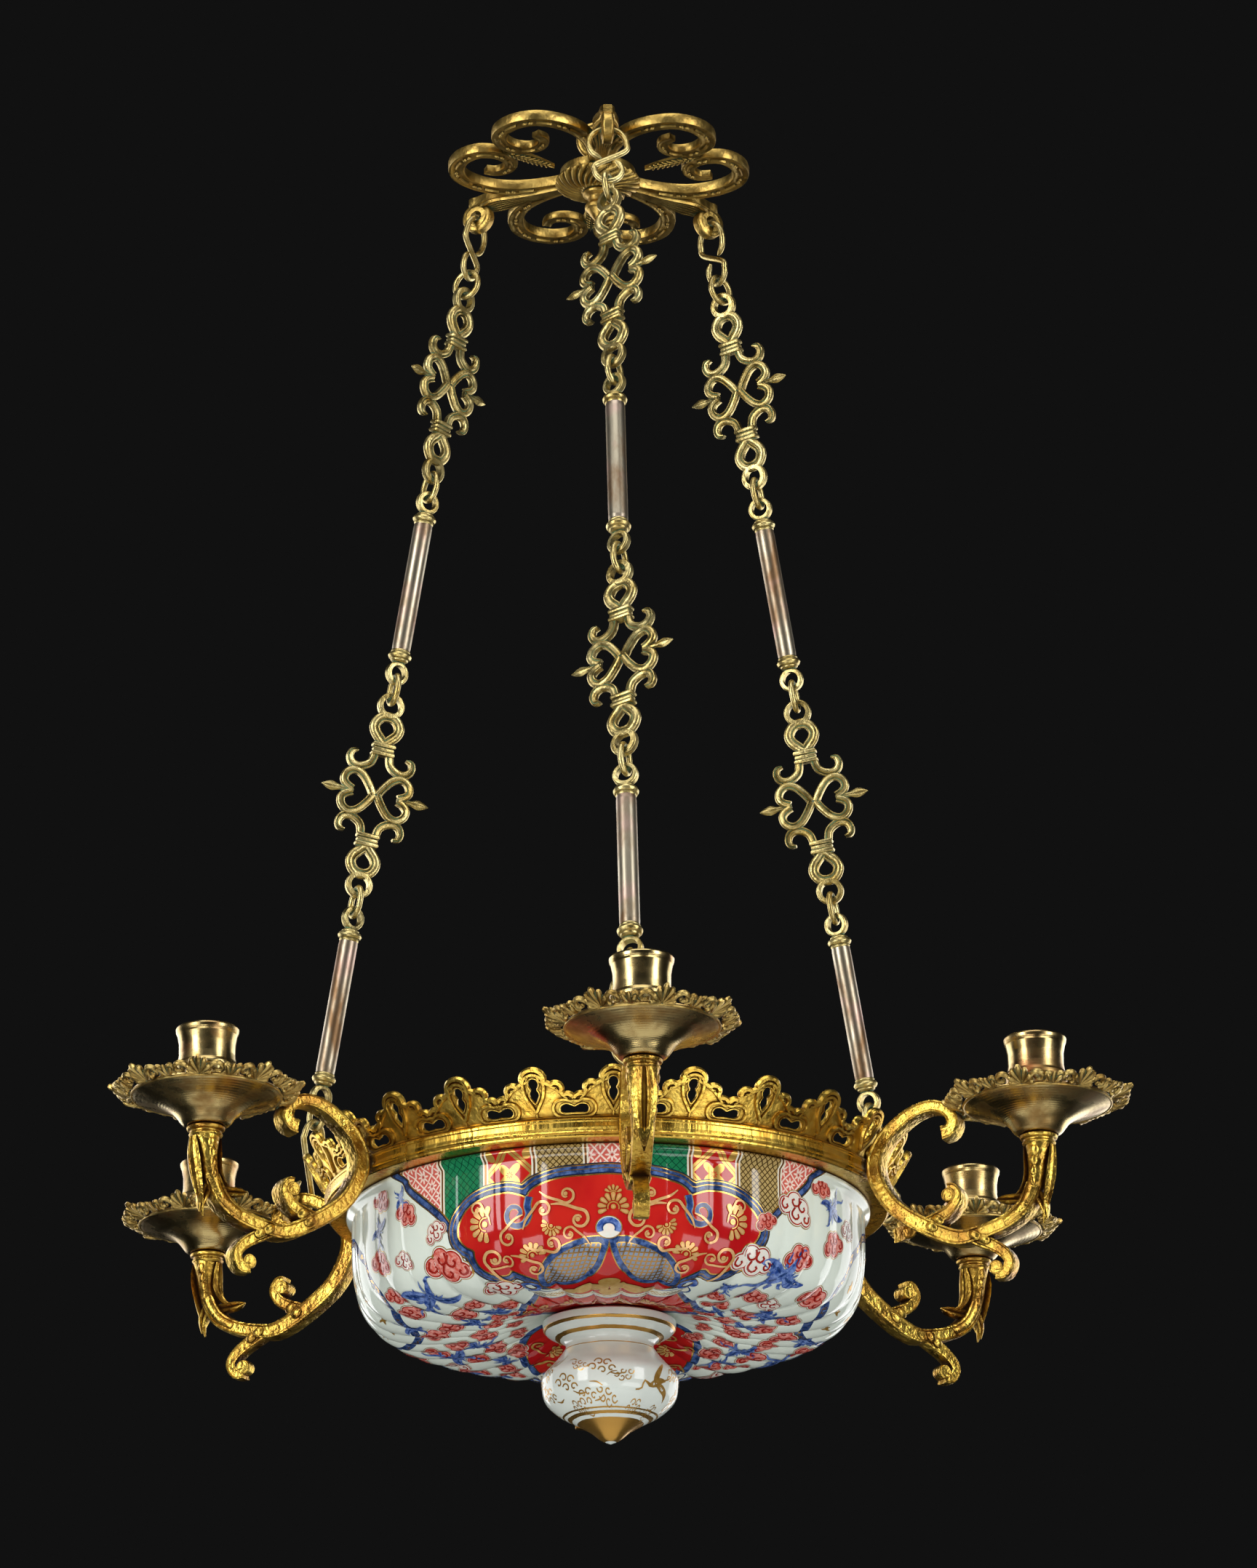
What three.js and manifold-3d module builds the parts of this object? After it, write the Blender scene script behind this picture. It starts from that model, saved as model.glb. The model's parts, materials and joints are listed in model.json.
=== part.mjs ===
// A six-light gilt bronze and porcelain bowl chandelier, hung by three ornamental chains.
// Millimetres, +Z up. The origin is the top inside of the suspension eye, where a ceiling hook bears.
// Arm 1 points along -Y. Everything else is worked out from the driving dimensions below.
import * as THREE from 'three';
import { mergeVertices } from 'three/addons/utils/BufferGeometryUtils.js';
import Module from 'manifold-3d';

const wasm = await Module();
wasm.setup();

// Clearances
const seatGap = 0.3;          // between pieces that rest on each other
const wireGap = 0.6;          // between wires and the eyes they pull on, with room for their facets
const hookSlack = 0.35;       // more of the same at the S-hooks, whose facets are longer
const bite = 1;               // how far the joined shapes of one piece run into each other

// Suspension eye and ceiling plate
const eyeWire = 5;            // wire thickness of the suspension eye
const eyeInside = 15;         // inside diameter of the suspension eye
const eyeNeck = 4;            // height of the neck under the eye's loop
const shankDiameter = 6;
const shankCollar = 16;       // collar that rests on the plate
const shankCollarHeight = 3;
const plateThickness = 6;
const plateHub = 22;          // radius of the plate's centre boss
const scrollReach = 80;       // radius of the outermost scroll centreline
const scrollHalfWidth = 4.7;
const leafLength = 30;
const leafWidth = 8;
const lugArmWidth = 12;
const lugRadius = 78.4;       // hole centre to the chandelier's axis
const lugDiameter = 18;
const lugThickness = 7;
const lugHole = 7;            // hole diameter
const lugDrop = 6.5;          // hole centre below the plate's underside
const rosetteDiameter = 50;
const rosetteHeight = 7;
const knobHeight = 20;
const knobDiameter = 18;

// Chains
const footSpan = 54.24;       // between the wire centres at the foot hook's two ends
const wire = 3.3;             // wire of hooks and rings
const hookBigRadius = 10.8;   // mean radius of the top hook's upper loop
const hookSmallRadius = 7.8;
const hookSpan = 38;          // between the wire centres at the top hook's two ends
const ringRadius = 8;         // mean radius of the round ring
const ovalHalfLength = 8.5;   // mean half length of the oval rings
const ovalHalfWidth = 5.8;
const linkLength = 107;       // between the eye centres
const linkThickness = 4.4;
const linkEyeHole = 9.8;
const linkEyeDiameter = 15.7;
const linkStrap = 4.7;        // width of the link's scrolls
const linkHalfWidth = 32;     // axis to leaf tip
const collarWidth = 15.7;
const collarHeight = 5.6;
const collarThickness = 5.8;
const teardropWidth = 21.4;
const teardropHole = 6;
const rodLength = 104.6;      // between the eye centres
const rodDiameter = 10.8;
const rodCollarDiameter = 13.8;
const rodCollarHeight = 4;
const rodEyeHole = 9.2;
const rodEyeDiameter = 13.8;
const rodEyeThickness = 4.4;

// Bowl assembly, heights measured down from the candle cups' mouths
const bowlRadius = 138.5;
const bowlWall = 5;
const lipRadius = 141.5;      // the everted lip, under the rim band's flange
const lipThickness = 3.5;
const bowlDepth = 67.5;       // lip top to the lowest outside
const bowlRise = 10.5;        // how far the middle of the bottom rises
const boltDiameter = 8;
const bandHeight = 10;
const bandDrop = 63.5;        // underside of the rim band below the cup mouths
const bandOuter = 153.4;
const bandInner = 146.5;
const flangeInner = 133;      // inside radius of the band's flat flange, over the bowl's lip
const flangeThickness = 2.4;
const coveDepth = 2.4;
const spokeWidth = 12;        // cross bars inside, which the tie bolt hangs from
const spokeThickness = 3;
const bossRadius = 16;
const washerRadius = 9.6;
const washerThickness = 2.4;
const nutRadius = 7.6;
const nutHeight = 6.5;
const boltTail = 3;           // bolt above its nut
const galleryCount = 24;
const galleryHeight = 24;     // rise of the palmette tips above the band
const galleryFlare = 31.7;    // degrees from vertical
const galleryThickness = 3.2;
const galleryPhase = -2.9;    // degrees of the nearest palmette from arm 1
const galleryInset = 0.6;     // from the inside of the band to the gallery's foot
const finialFlange = 36;      // radius
const finialNeck = 23.5;      // radius
const bulbRadius = 36.6;
const finialHeight = 68.3;
const boltEngagement = 0.6;   // share of the finial's height that the tie bolt enters

// Arms, pans and cups
const armsPerChain = 2;
const armRadius = 250;        // candle axis to the chandelier's axis
const strapWidth = 10.4;      // side to side width of the arms' scrolls
const neckWidth = 17;
const neckDiameter = 20;
const neckRing = 5;           // height of the round top of the neck
const hangWidth = 8;
const scrollDrop = 30.5;      // centre of the upper scroll's top below the cup mouths
const scrollShare = 0.681;    // where that top is, from the rim band to the scroll's outer end
const panClear = 4.6;         // from the scroll's outer end to the pan
const scrollHalf = 3.3;       // half the strap's height there
const backHalf = 4.4;         // half the strap's depth against the rim band
const cupLip = 32;
const cupBore = 22;
const cupHeight = 27;
const cupFloor = 4;
const panDisc = 76.4;         // diameter of the plain turned dish
const panTips = 100;          // over the palmette tips
const panLeaves = 8;
const panThickness = 2.4;
const panValley = 0.03;       // how far the edge between the leaves reaches toward their tips
const panRise = 15.5;         // neck top to the edge of the dish
const neckDrop = 53;          // neck top below the cup mouths
const spigotDiameter = 10;    // of the cup, through the pan
const cupBase = 30;

// Round surfaces, in sides
const wireSides = 6;
const ringSteps = 12;
const hookSteps = 20;
const turnedSides = 16;
const slimSides = 12;
const eyeSides = 8;
const bowlSides = 36;

// Where the chains hang, worked out from the sizes
const plateTop = -(eyeInside + eyeWire + eyeNeck + shankCollarHeight) - seatGap;
const plateUnder = plateTop - plateThickness;
const lugHeight = plateUnder - lugDrop;
const armBack = bandOuter + seatGap + backHalf;
const scrollEnd = armRadius - panDisc / 2 - panClear;
const footRadius = armBack + scrollShare * (scrollEnd - armBack);
const footLoop = Math.hypot(strapWidth, 2 * scrollHalf) / 2 + wire / 2 + wireGap + 3 * hookSlack;
const footRise = Math.sqrt((footLoop - wire / 2 - wireGap) ** 2 - (strapWidth / 2) ** 2) - scrollHalf;
const stations = chainStations();
const chainLength = stations.footHook + footSpan;
const chainLean = Math.asin((footRadius - lugRadius) / chainLength);

// Heights of the bowl assembly, which the chains carry
const scrollTop = lugHeight - chainLength * Math.cos(chainLean) + footLoop - footRise;
const cupMouth = scrollTop + scrollDrop;
const bandBottom = cupMouth - bandDrop;
const bandTop = bandBottom + bandHeight;
const lipTop = bandBottom - seatGap;
const bowlLow = lipTop - bowlDepth;
const finialTop = bowlLow + bowlRise - seatGap;
const spokeLow = bandBottom + flangeThickness - bite / 2;
const bossTop = spokeLow + spokeThickness + bite;
const bandMiddle = bandDrop - bandHeight / 2;
const panSeat = cupMouth - cupHeight - seatGap;

// Finishes
const gilt = new THREE.MeshStandardMaterial({ color: 0xc9992e, roughness: 0.34, metalness: 1 });
const brass = new THREE.MeshStandardMaterial({ color: 0xa98d4a, roughness: 0.36, metalness: 1 });
const porcelain = new THREE.MeshStandardMaterial({ color: 0xdfe6de, roughness: 0.12, metalness: 0 });
const steel = new THREE.MeshStandardMaterial({ color: 0x6f6a62, roughness: 0.5, metalness: 1 });

// Turns a closed geometry into a solid that can be joined and cut
function solid(geometry) {
  const bare = geometry.index ? geometry.toNonIndexed() : geometry.clone();
  bare.deleteAttribute('normal');
  bare.deleteAttribute('uv');
  const merged = mergeVertices(bare, 1e-4);
  const vertProperties = new Float32Array(merged.attributes.position.array);
  const triVerts = new Uint32Array(merged.index.array);
  return new wasm.Manifold(new wasm.Mesh({ numProp: 3, vertProperties, triVerts }));
}

// Turns a solid back into a geometry
function geometryOf(body) {
  const mesh = body.getMesh();
  const geometry = new THREE.BufferGeometry();
  geometry.setAttribute('position', new THREE.BufferAttribute(new Float32Array(mesh.vertProperties), 3));
  geometry.setIndex(new THREE.BufferAttribute(new Uint32Array(mesh.triVerts), 1));
  geometry.computeVertexNormals();
  return geometry;
}

// Joins solids into one
function join(bodies) {
  return bodies.reduce((whole, body) => whole.add(body));
}

// A named mesh
function piece(name, geometry, material) {
  const mesh = new THREE.Mesh(geometry, material);
  mesh.name = name;
  return mesh;
}

// A smooth curve through points given as [x, y]
function curveThrough(points) {
  return new THREE.SplineCurve(points.map(([x, y]) => new THREE.Vector2(x, y)));
}

// A flat strap of changing width: a smooth centreline and the half widths along it
function ribbon(points, halfWidths, steps) {
  const curve = curveThrough(points);
  const widths = curveThrough(halfWidths.map((half, i) => [i, half]));
  const left = [];
  const right = [];
  for (let i = 0; i <= steps; i += 1) {
    const at = curve.getPoint(i / steps);
    const along = curve.getTangent(i / steps);
    const half = widths.getPoint(i / steps).y;
    left.push(new THREE.Vector2(at.x - along.y * half, at.y + along.x * half));
    right.push(new THREE.Vector2(at.x + along.y * half, at.y - along.x * half));
  }
  return new THREE.Shape([...left, ...right.reverse()]);
}

// A flat casting: the shape drawn in x and y, its thickness centred on z = 0
function casting(shape, thickness, curveSegments = 6) {
  const geometry = new THREE.ExtrudeGeometry(shape, { depth: thickness, bevelEnabled: false, curveSegments });
  return geometry.translate(0, 0, -thickness / 2);
}

// Stands a casting up: its x stays x and its y becomes z
function upright(geometry) {
  return geometry.rotateX(Math.PI / 2);
}

// A round disc or ring as a shape
function disc(x, y, radius, hole = 0, sides = 16) {
  const circle = (r) => Array.from({ length: sides }, (_, i) => {
    const turn = (2 * Math.PI * i) / sides;
    return new THREE.Vector2(x + r * Math.cos(turn), y + r * Math.sin(turn));
  });
  const shape = new THREE.Shape(circle(radius));
  if (hole > 0) shape.holes.push(new THREE.Path(circle(hole)));
  return shape;
}

// A closed shape through corner points
function outline(points) {
  return new THREE.Shape(points.map(([x, y]) => new THREE.Vector2(x, y)));
}

// A turned piece about the z axis, from [radius, height] points in either order
function turned(points, sides = turnedSides) {
  const profile = points.map(([r, z]) => new THREE.Vector2(r, z));
  if (THREE.ShapeUtils.area(profile) < 0) profile.reverse();
  return new THREE.LatheGeometry(profile, sides).rotateX(Math.PI / 2);
}

// A closed turned ring, whose profile closes on itself
function turnedRing(points, sides = turnedSides) {
  return turned([...points, points[0]], sides);
}

// A cylinder about the z axis
function cylinder(radius, low, high, sides = turnedSides) {
  const geometry = new THREE.CylinderGeometry(radius, radius, high - low, sides);
  return geometry.rotateX(Math.PI / 2).translate(0, 0, (low + high) / 2);
}

// A bent wire along a curve
function wireAlong(curve, steps, diameter = wire) {
  const section = disc(0, 0, diameter / 2, 0, wireSides);
  return new THREE.ExtrudeGeometry(section, { steps, extrudePath: curve, bevelEnabled: false });
}

// A closed wire ring in the y-z plane, oval when its half length and half width differ
function wireRing(halfLength, halfWidth) {
  const geometry = new THREE.TorusGeometry(halfWidth, wire / 2, wireSides, ringSteps);
  const position = geometry.attributes.position;
  for (let i = 0; i < position.count; i += 1) {
    const y = position.getY(i);
    position.setY(i, y + (y / Math.hypot(position.getX(i), y)) * (halfLength - halfWidth));
  }
  return geometry.rotateX(Math.PI / 2).rotateZ(Math.PI / 2);
}

// Mirrors a list of points in x or in y
const flipX = (points) => points.map(([x, y]) => [-x, y]);
const flipY = (points) => points.map(([x, y]) => [x, -y]);

// Suspension eye: loop, neck, collar on the plate, and shank down to the knob
function suspensionEye() {
  const loopRadius = (eyeInside + eyeWire) / 2;
  const loopCentre = -eyeInside / 2;
  const loop = new THREE.TorusGeometry(loopRadius, eyeWire / 2, wireSides, turnedSides);
  loop.rotateX(Math.PI / 2).translate(0, 0, loopCentre);
  const collarTop = plateTop + seatGap + shankCollarHeight;
  const neckTop = loopCentre - loopRadius;
  const shankEnd = plateUnder - rosetteHeight - knobHeight * 0.6;
  const shank = turned([
    [0, neckTop],
    [shankDiameter / 2, neckTop],
    [shankDiameter / 2, collarTop],
    [shankCollar / 2, collarTop],
    [shankCollar / 2, plateTop + seatGap],
    [shankDiameter / 2, plateTop + seatGap],
    [shankDiameter / 2, shankEnd],
    [0, shankEnd],
  ], slimSides);
  return geometryOf(join([solid(loop), solid(shank)]));
}

// One scroll of the plate, drawn beside a lug arm that lies along +x
function plateScroll() {
  const drawnReach = 76;
  const drawnHalf = 4.7;
  const path = [[14, 3], [30, 4.6], [43, 7.5], [54, 13], [61.5, 21], [66, 31], [66.5, 40], [62.5, 49],
    [54.5, 55.5], [45, 57], [37.5, 53], [33.6, 46.5], [34, 39], [39.5, 33.6], [46.5, 34], [50.5, 40]];
  const half = [3, 3.4, 3.8, 4.4, 4.7, 4.7, 4.7, 4.7, 4.6, 4.5, 4.5, 4.4, 3.8, 3.2, 2.8, 1.9];
  const grow = scrollReach / drawnReach;
  const wide = scrollHalfWidth / drawnHalf;
  return ribbon(path.map(([x, y]) => [x * grow, y * grow]), half.map((h) => h * wide), 13);
}

// Ceiling plate: six scrolls in mirrored pairs, three lug arms, three leaves and a centre boss
function ceilingPlate() {
  const flat = [casting(disc(0, 0, plateHub, 0, 18), plateThickness)];
  const lugs = [];
  const holes = [cylinder(shankDiameter / 2 + seatGap, plateUnder - bite, plateTop + bite, slimSides)];
  const leafTip = scrollReach * 0.82;
  const leaf = ribbon([[leafTip, 0], [leafTip - leafLength / 2, 0], [leafTip - leafLength, 0]],
    [leafWidth / 3, leafWidth / 2, 0.6], 4);
  const armEnd = lugRadius + lugDiameter * 0.3;
  const arm = ribbon([[10, 0], [armEnd / 2, 0], [armEnd, 0]],
    [lugArmWidth * 0.4, lugArmWidth * 0.32, lugArmWidth / 2], 4);
  for (let i = 0; i < 3; i += 1) {
    const turn = (i * 2 * Math.PI) / 3 - Math.PI / 2;
    const scroll = plateScroll();
    flat.push(casting(scroll, plateThickness).rotateZ(turn));
    flat.push(casting(scroll, plateThickness).rotateX(Math.PI).rotateZ(turn));
    flat.push(casting(leaf, plateThickness * 0.6).rotateZ(turn + Math.PI / 3));
    flat.push(casting(arm, plateThickness).rotateZ(turn));
    const plug = upright(casting(disc(lugRadius, lugHeight, lugDiameter / 2, 0, slimSides), lugThickness));
    lugs.push(plug.rotateZ(turn));
    const neck = new THREE.BoxGeometry(lugDiameter * 0.8, lugThickness, lugDrop);
    neck.translate(lugRadius, 0, lugHeight + lugDrop / 2 + bite).rotateZ(turn);
    lugs.push(neck);
    const bore = upright(casting(disc(lugRadius, lugHeight, lugHole / 2, 0, eyeSides), lugThickness * 2));
    holes.push(bore.rotateZ(turn));
  }
  flat.forEach((geometry) => geometry.translate(0, 0, (plateTop + plateUnder) / 2));
  const body = join([...flat, ...lugs].map(solid));
  return geometryOf(holes.reduce((rest, hole) => rest.subtract(solid(hole)), body));
}

// Fluted rosette under the plate, bored for the shank
function rosette() {
  const top = plateUnder - seatGap;
  const bore = shankDiameter / 2 + seatGap;
  const r = rosetteDiameter / 2;
  return turnedRing([
    [bore, top],
    [bore, top - rosetteHeight],
    [r * 0.36, top - rosetteHeight],
    [r * 0.7, top - rosetteHeight * 0.72],
    [r * 0.95, top - rosetteHeight * 0.4],
    [r, top - rosetteHeight * 0.15],
    [r * 0.96, top],
  ], 20);
}

// Stepped knob screwed on the shank, ending in a point
function plateKnob() {
  const top = plateUnder - rosetteHeight - 2 * seatGap;
  const bore = shankDiameter / 2 + seatGap;
  const boreEnd = plateUnder - rosetteHeight - knobHeight * 0.6 - seatGap;
  const r = knobDiameter / 2;
  return turned([
    [0, boreEnd],
    [bore, boreEnd],
    [bore, top],
    [r, top],
    [r, top - knobHeight * 0.1],
    [r * 0.62, top - knobHeight * 0.2],
    [r * 0.6, top - knobHeight * 0.36],
    [r * 0.86, top - knobHeight * 0.46],
    [r * 0.84, top - knobHeight * 0.58],
    [r * 0.36, top - knobHeight * 0.86],
    [0, top - knobHeight],
  ]);
}

// Centreline of an S-hook in the x-z plane: its top wire centre at z = 0, its bottom one at z = -span
function sHook(span, upper, lower) {
  const arc = (radius, middle, from, sweep) => Array.from({ length: 8 }, (_, i) => {
    const turn = THREE.MathUtils.degToRad(from + (i / 7) * sweep);
    return new THREE.Vector3(radius * Math.cos(turn), 0, middle + radius * Math.sin(turn));
  });
  return [...arc(upper, -upper, -20, 260), ...arc(lower, lower - span, 55, -265)];
}

// Flat link: two hearts back to back, a leaf on each, four hook scrolls, and a looped end with a collar
function chainLink() {
  const drawn = { halfWidth: 32, length: 107, collar: 26.6, teardrop: 40 };
  const wide = linkHalfWidth / drawn.halfWidth;
  const tall = linkLength / drawn.length;
  const collarRise = drawn.collar * tall;
  const half = linkStrap / 2;
  const place = (points) => points.map(([x, y]) => [x * wide, y * tall]);
  const hook = place([[4.4, 25], [6.8, 17.8], [11.8, 14.1], [16.6, 15.3], [18.3, 19.8], [16.9, 22.9], [14, 23.3]]);
  const hookHalf = [half, half, half, half, half * 0.8, half * 0.6, 0.7];
  const lobe = place([[13.2, 1], [16.8, 2.8], [18.9, 5.6], [18, 9.8], [14.3, 13], [9.3, 11.2], [4.2, 5.3]]);
  const heart = [...lobe, [1.5 * wide, 0], ...flipY(lobe).reverse()];
  const leaf = place([[12.6, 0], [22, 0], [26.5, 0], [32, 0]]);
  const bodies = [];
  for (const side of [1, -1]) {
    const sided = (points) => (side > 0 ? points : flipX(points));
    bodies.push(casting(ribbon(sided(heart), Array(heart.length).fill(half), 12), linkThickness));
    bodies.push(casting(ribbon(sided(leaf), [1.6, 2.4, 2.8, 0.4], 2), linkThickness));
    for (const points of [hook, flipY(hook)]) {
      bodies.push(casting(ribbon(sided(points), hookHalf, 4), linkThickness));
    }
  }
  for (const end of [1, -1]) {
    const collar = new THREE.BoxGeometry(collarWidth, collarHeight, collarThickness);
    bodies.push(collar.translate(0, end * collarRise, 0));
    bodies.push(casting(teardrop(end, drawn.teardrop * tall, collarRise), linkThickness));
    const eye = disc(0, (end * linkLength) / 2, linkEyeDiameter / 2, linkEyeHole / 2, eyeSides);
    bodies.push(casting(eye, linkThickness));
  }
  return geometryOf(join(bodies.map(solid)));
}

// The link's looped end, a teardrop with a teardrop hole, its point on the collar
function teardrop(end, middle, collarRise) {
  const drop = (radius, steps, tail) => {
    const round = Array.from({ length: steps + 1 }, (_, i) => {
      const turn = THREE.MathUtils.degToRad(-25 + (230 * i) / steps);
      return [radius * Math.cos(turn), middle + radius * Math.sin(turn)];
    });
    const points = [...round, ...tail];
    return outline(end > 0 ? points : flipY(points).reverse());
  };
  const root = collarWidth * 0.35;
  const tip = collarRise + collarHeight / 2 + teardropHole / 3;
  const shape = drop(teardropWidth / 2, 6, [[-root, collarRise], [root, collarRise]]);
  shape.holes.push(new THREE.Path(drop(teardropHole / 2, 5, [[0, tip]]).getPoints()));
  return shape;
}

// Turned rod with a collar and a flat eye at each end, about the z axis and centred
function chainRod() {
  const r = rodDiameter / 2;
  const collar = rodCollarDiameter / 2;
  const shoulder = rodLength / 2 - rodEyeDiameter / 2 - bite;
  const neck = rodEyeThickness / 2 + bite;
  const profile = [
    [neck, shoulder + 2 * bite],
    [collar, shoulder - rodCollarHeight * 0.7],
    [r, shoulder - rodCollarHeight * 1.3],
  ];
  const shaft = turned([
    [0, shoulder + 2 * bite],
    ...profile,
    ...profile.map(([x, z]) => [x, -z]).reverse(),
    [0, -shoulder - 2 * bite],
  ], eyeSides);
  const eyes = [1, -1].map((end) => {
    const eye = disc(0, (end * rodLength) / 2, rodEyeDiameter / 2, rodEyeHole / 2, eyeSides);
    return upright(casting(eye, rodEyeThickness));
  });
  return geometryOf(join([shaft, ...eyes].map(solid)));
}

// How far a curved wire's middle stands off a flat eye of the given thickness
function bowOff(radius, thickness) {
  return radius - Math.sqrt(radius ** 2 - (thickness / 2) ** 2);
}

// Where each piece of a chain sits, measured down the chain line from the lug's hole
function chainStations() {
  const at = {};
  const pull = wire + wireGap;
  const endBend = ovalHalfWidth ** 2 / ovalHalfLength;
  const flat = Math.cos(Math.PI / eyeSides);
  const seat = (hole, thickness, bendRadius) => (
    (hole / 2) * flat - wire / 2 - wireGap - bowOff(bendRadius, thickness)
  );
  const linkSeat = seat(linkEyeHole, linkThickness, endBend);
  const rodSeat = seat(rodEyeHole, rodEyeThickness, endBend);
  at.hookTop = seat(lugHole, lugThickness, hookBigRadius);
  at.topRing = at.hookTop + hookSpan - pull - hookSlack + ringRadius;
  at.upperLink = at.topRing + ringRadius + seat(linkEyeHole, linkThickness, ringRadius) + linkLength / 2;
  at.upperLinkRing = at.upperLink + linkLength / 2 + linkSeat + ovalHalfLength;
  at.upperRod = at.upperLinkRing + ovalHalfLength + rodSeat + rodLength / 2;
  at.middleRing = at.upperRod + rodLength / 2 + rodSeat + ovalHalfLength;
  at.lowerLink = at.middleRing + ovalHalfLength + linkSeat + linkLength / 2;
  at.lowerLinkRing = at.lowerLink + linkLength / 2 + linkSeat + ovalHalfLength;
  at.lowerRod = at.lowerLinkRing + ovalHalfLength + rodSeat + rodLength / 2;
  at.footRing = at.lowerRod + rodLength / 2 + rodSeat + ovalHalfLength;
  at.footHook = at.footRing + ovalHalfLength - pull - hookSlack;
  return at;
}

// One chain, hanging from the plate lug at the given azimuth; turns are its pieces' turns about the line
function chain(side, azimuth, turns) {
  const at = stations;
  const line = new THREE.Group();
  line.rotation.x = -chainLean;
  line.position.set(0, -lugRadius, lugHeight);
  const hang = (name, geometry, station, turn) => {
    const mesh = piece(`${name}_${side}`, geometry, brass);
    mesh.position.z = -station;
    mesh.rotation.z = THREE.MathUtils.degToRad(turn);
    line.add(mesh);
  };
  const link = upright(chainLink());
  const rod = chainRod();
  const round = wireRing(ringRadius, ringRadius);
  const oval = wireRing(ovalHalfLength, ovalHalfWidth);
  const bend = (points) => wireAlong(new THREE.CatmullRomCurve3(points), hookSteps);
  const top = bend(sHook(hookSpan, hookBigRadius, hookSmallRadius));
  const foot = bend(sHook(footSpan, footLoop, footLoop));
  const [upperLink, upperRod, lowerLink, lowerRod] = turns;
  hang('top_s_hook', top, at.hookTop, 0);
  hang('top_ring', round, at.topRing, upperLink / 2);
  hang('upper_link', link, at.upperLink, upperLink);
  hang('upper_link_ring', oval, at.upperLinkRing, (upperLink + upperRod) / 2);
  hang('upper_rod', rod, at.upperRod, upperRod);
  hang('middle_ring', oval, at.middleRing, (upperRod + lowerLink) / 2);
  hang('lower_link', link, at.lowerLink, lowerLink);
  hang('lower_link_ring', oval, at.lowerLinkRing, (lowerLink + lowerRod) / 2);
  hang('lower_rod', rod, at.lowerRod, lowerRod);
  hang('foot_ring', oval, at.footRing, lowerRod / 2);
  hang('foot_s_hook', foot, at.footHook, 0);
  const group = new THREE.Group();
  group.rotation.z = THREE.MathUtils.degToRad(azimuth);
  group.add(line);
  return group;
}

// Rim band: a cove between two beads, a flat flange over the bowl's lip, and three cross bars to a boss
function rimBand() {
  const ring = turnedRing([
    [flangeInner, bandBottom],
    [bandOuter, bandBottom],
    [bandOuter, bandBottom + bandHeight * 0.2],
    [bandOuter - coveDepth, bandBottom + bandHeight * 0.4],
    [bandOuter - coveDepth, bandBottom + bandHeight * 0.7],
    [bandOuter, bandTop - bandHeight * 0.12],
    [bandOuter, bandTop],
    [bandInner, bandTop],
    [bandInner, bandBottom + flangeThickness],
    [flangeInner, bandBottom + flangeThickness],
  ], bowlSides);
  const parts = [ring, cylinder(bossRadius, spokeLow, bossTop)];
  const spokeReach = flangeInner + 2 * bite;
  for (let i = 0; i < 3; i += 1) {
    const spoke = new THREE.BoxGeometry(spokeReach, spokeWidth, spokeThickness);
    spoke.translate(spokeReach / 2, 0, spokeLow + spokeThickness / 2);
    parts.push(spoke.rotateZ(Math.PI / 2 + (i * 2 * Math.PI) / 3));
  }
  const bore = cylinder(boltDiameter / 2 + seatGap, spokeLow - bite, bossTop + bite, slimSides);
  return geometryOf(join(parts.map(solid)).subtract(solid(bore)));
}

// Right half of one palmette with half of each neighbouring slot, drawn flat from the base up
function palmetteHalf(pitch, reach) {
  const share = [[0.5, 0], [0.5, 0.13], [0.25, 0.12], [0.24, 0.27], [0.5, 0.25], [0.5, 0.45],
    [0.32, 0.57], [0.27, 0.76], [0.14, 0.96]];
  return share.map(([x, y]) => [x * pitch, y * reach]);
}

// Gallery: a ring of openwork palmettes leaning outward, a keyhole in each and a slot under each saddle
function gallery() {
  const foot = bandInner + galleryThickness / 2 + galleryInset;
  const flare = THREE.MathUtils.degToRad(galleryFlare);
  const pitch = (2 * Math.PI * foot) / galleryCount;
  const reach = galleryHeight / Math.cos(flare);
  const base = bandTop + seatGap + (galleryThickness / 2) * Math.sin(flare);
  const right = palmetteHalf(pitch, reach);
  const shape = outline([...right, [0, reach], ...flipX(right).reverse()]);
  const key = [[0.07, 0.48], [0.06, 0.72]].map(([x, y]) => [x * pitch, y * reach]);
  const keyhole = outline([[0, reach * 0.3], ...key, [0, reach * 0.83], ...flipX(key).reverse()]);
  shape.holes.push(new THREE.Path(keyhole.getPoints()));
  const unit = casting(shape, galleryThickness).attributes.position;
  const side = (i) => (Math.abs(unit.getX(i)) > pitch * 0.499 ? Math.sign(unit.getX(i)) / 2 : 0);
  const points = [];
  for (let copy = 0; copy < galleryCount; copy += 1) {
    for (let corner = 0; corner < unit.count; corner += 3) {
      const corners = [corner, corner + 1, corner + 2];
      const neighbourFace = Math.abs(corners.reduce((sum, i) => sum + side(i), 0)) === corners.length / 2;
      if (!neighbourFace) {
        for (const i of corners) {
          const share = (galleryCount + copy + (side(i) || unit.getX(i) / pitch)) % galleryCount;
          const turn = THREE.MathUtils.degToRad(galleryPhase) + (share * 2 * Math.PI) / galleryCount;
          const depth = unit.getZ(i);
          const r = foot + unit.getY(i) * Math.sin(flare) + depth * Math.cos(flare);
          const z = base + unit.getY(i) * Math.cos(flare) - depth * Math.sin(flare);
          points.push(r * Math.sin(turn), -r * Math.cos(turn), z);
        }
      }
    }
  }
  const geometry = new THREE.BufferGeometry();
  geometry.setAttribute('position', new THREE.BufferAttribute(new Float32Array(points), 3));
  return geometryOf(solid(geometry));
}

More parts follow.
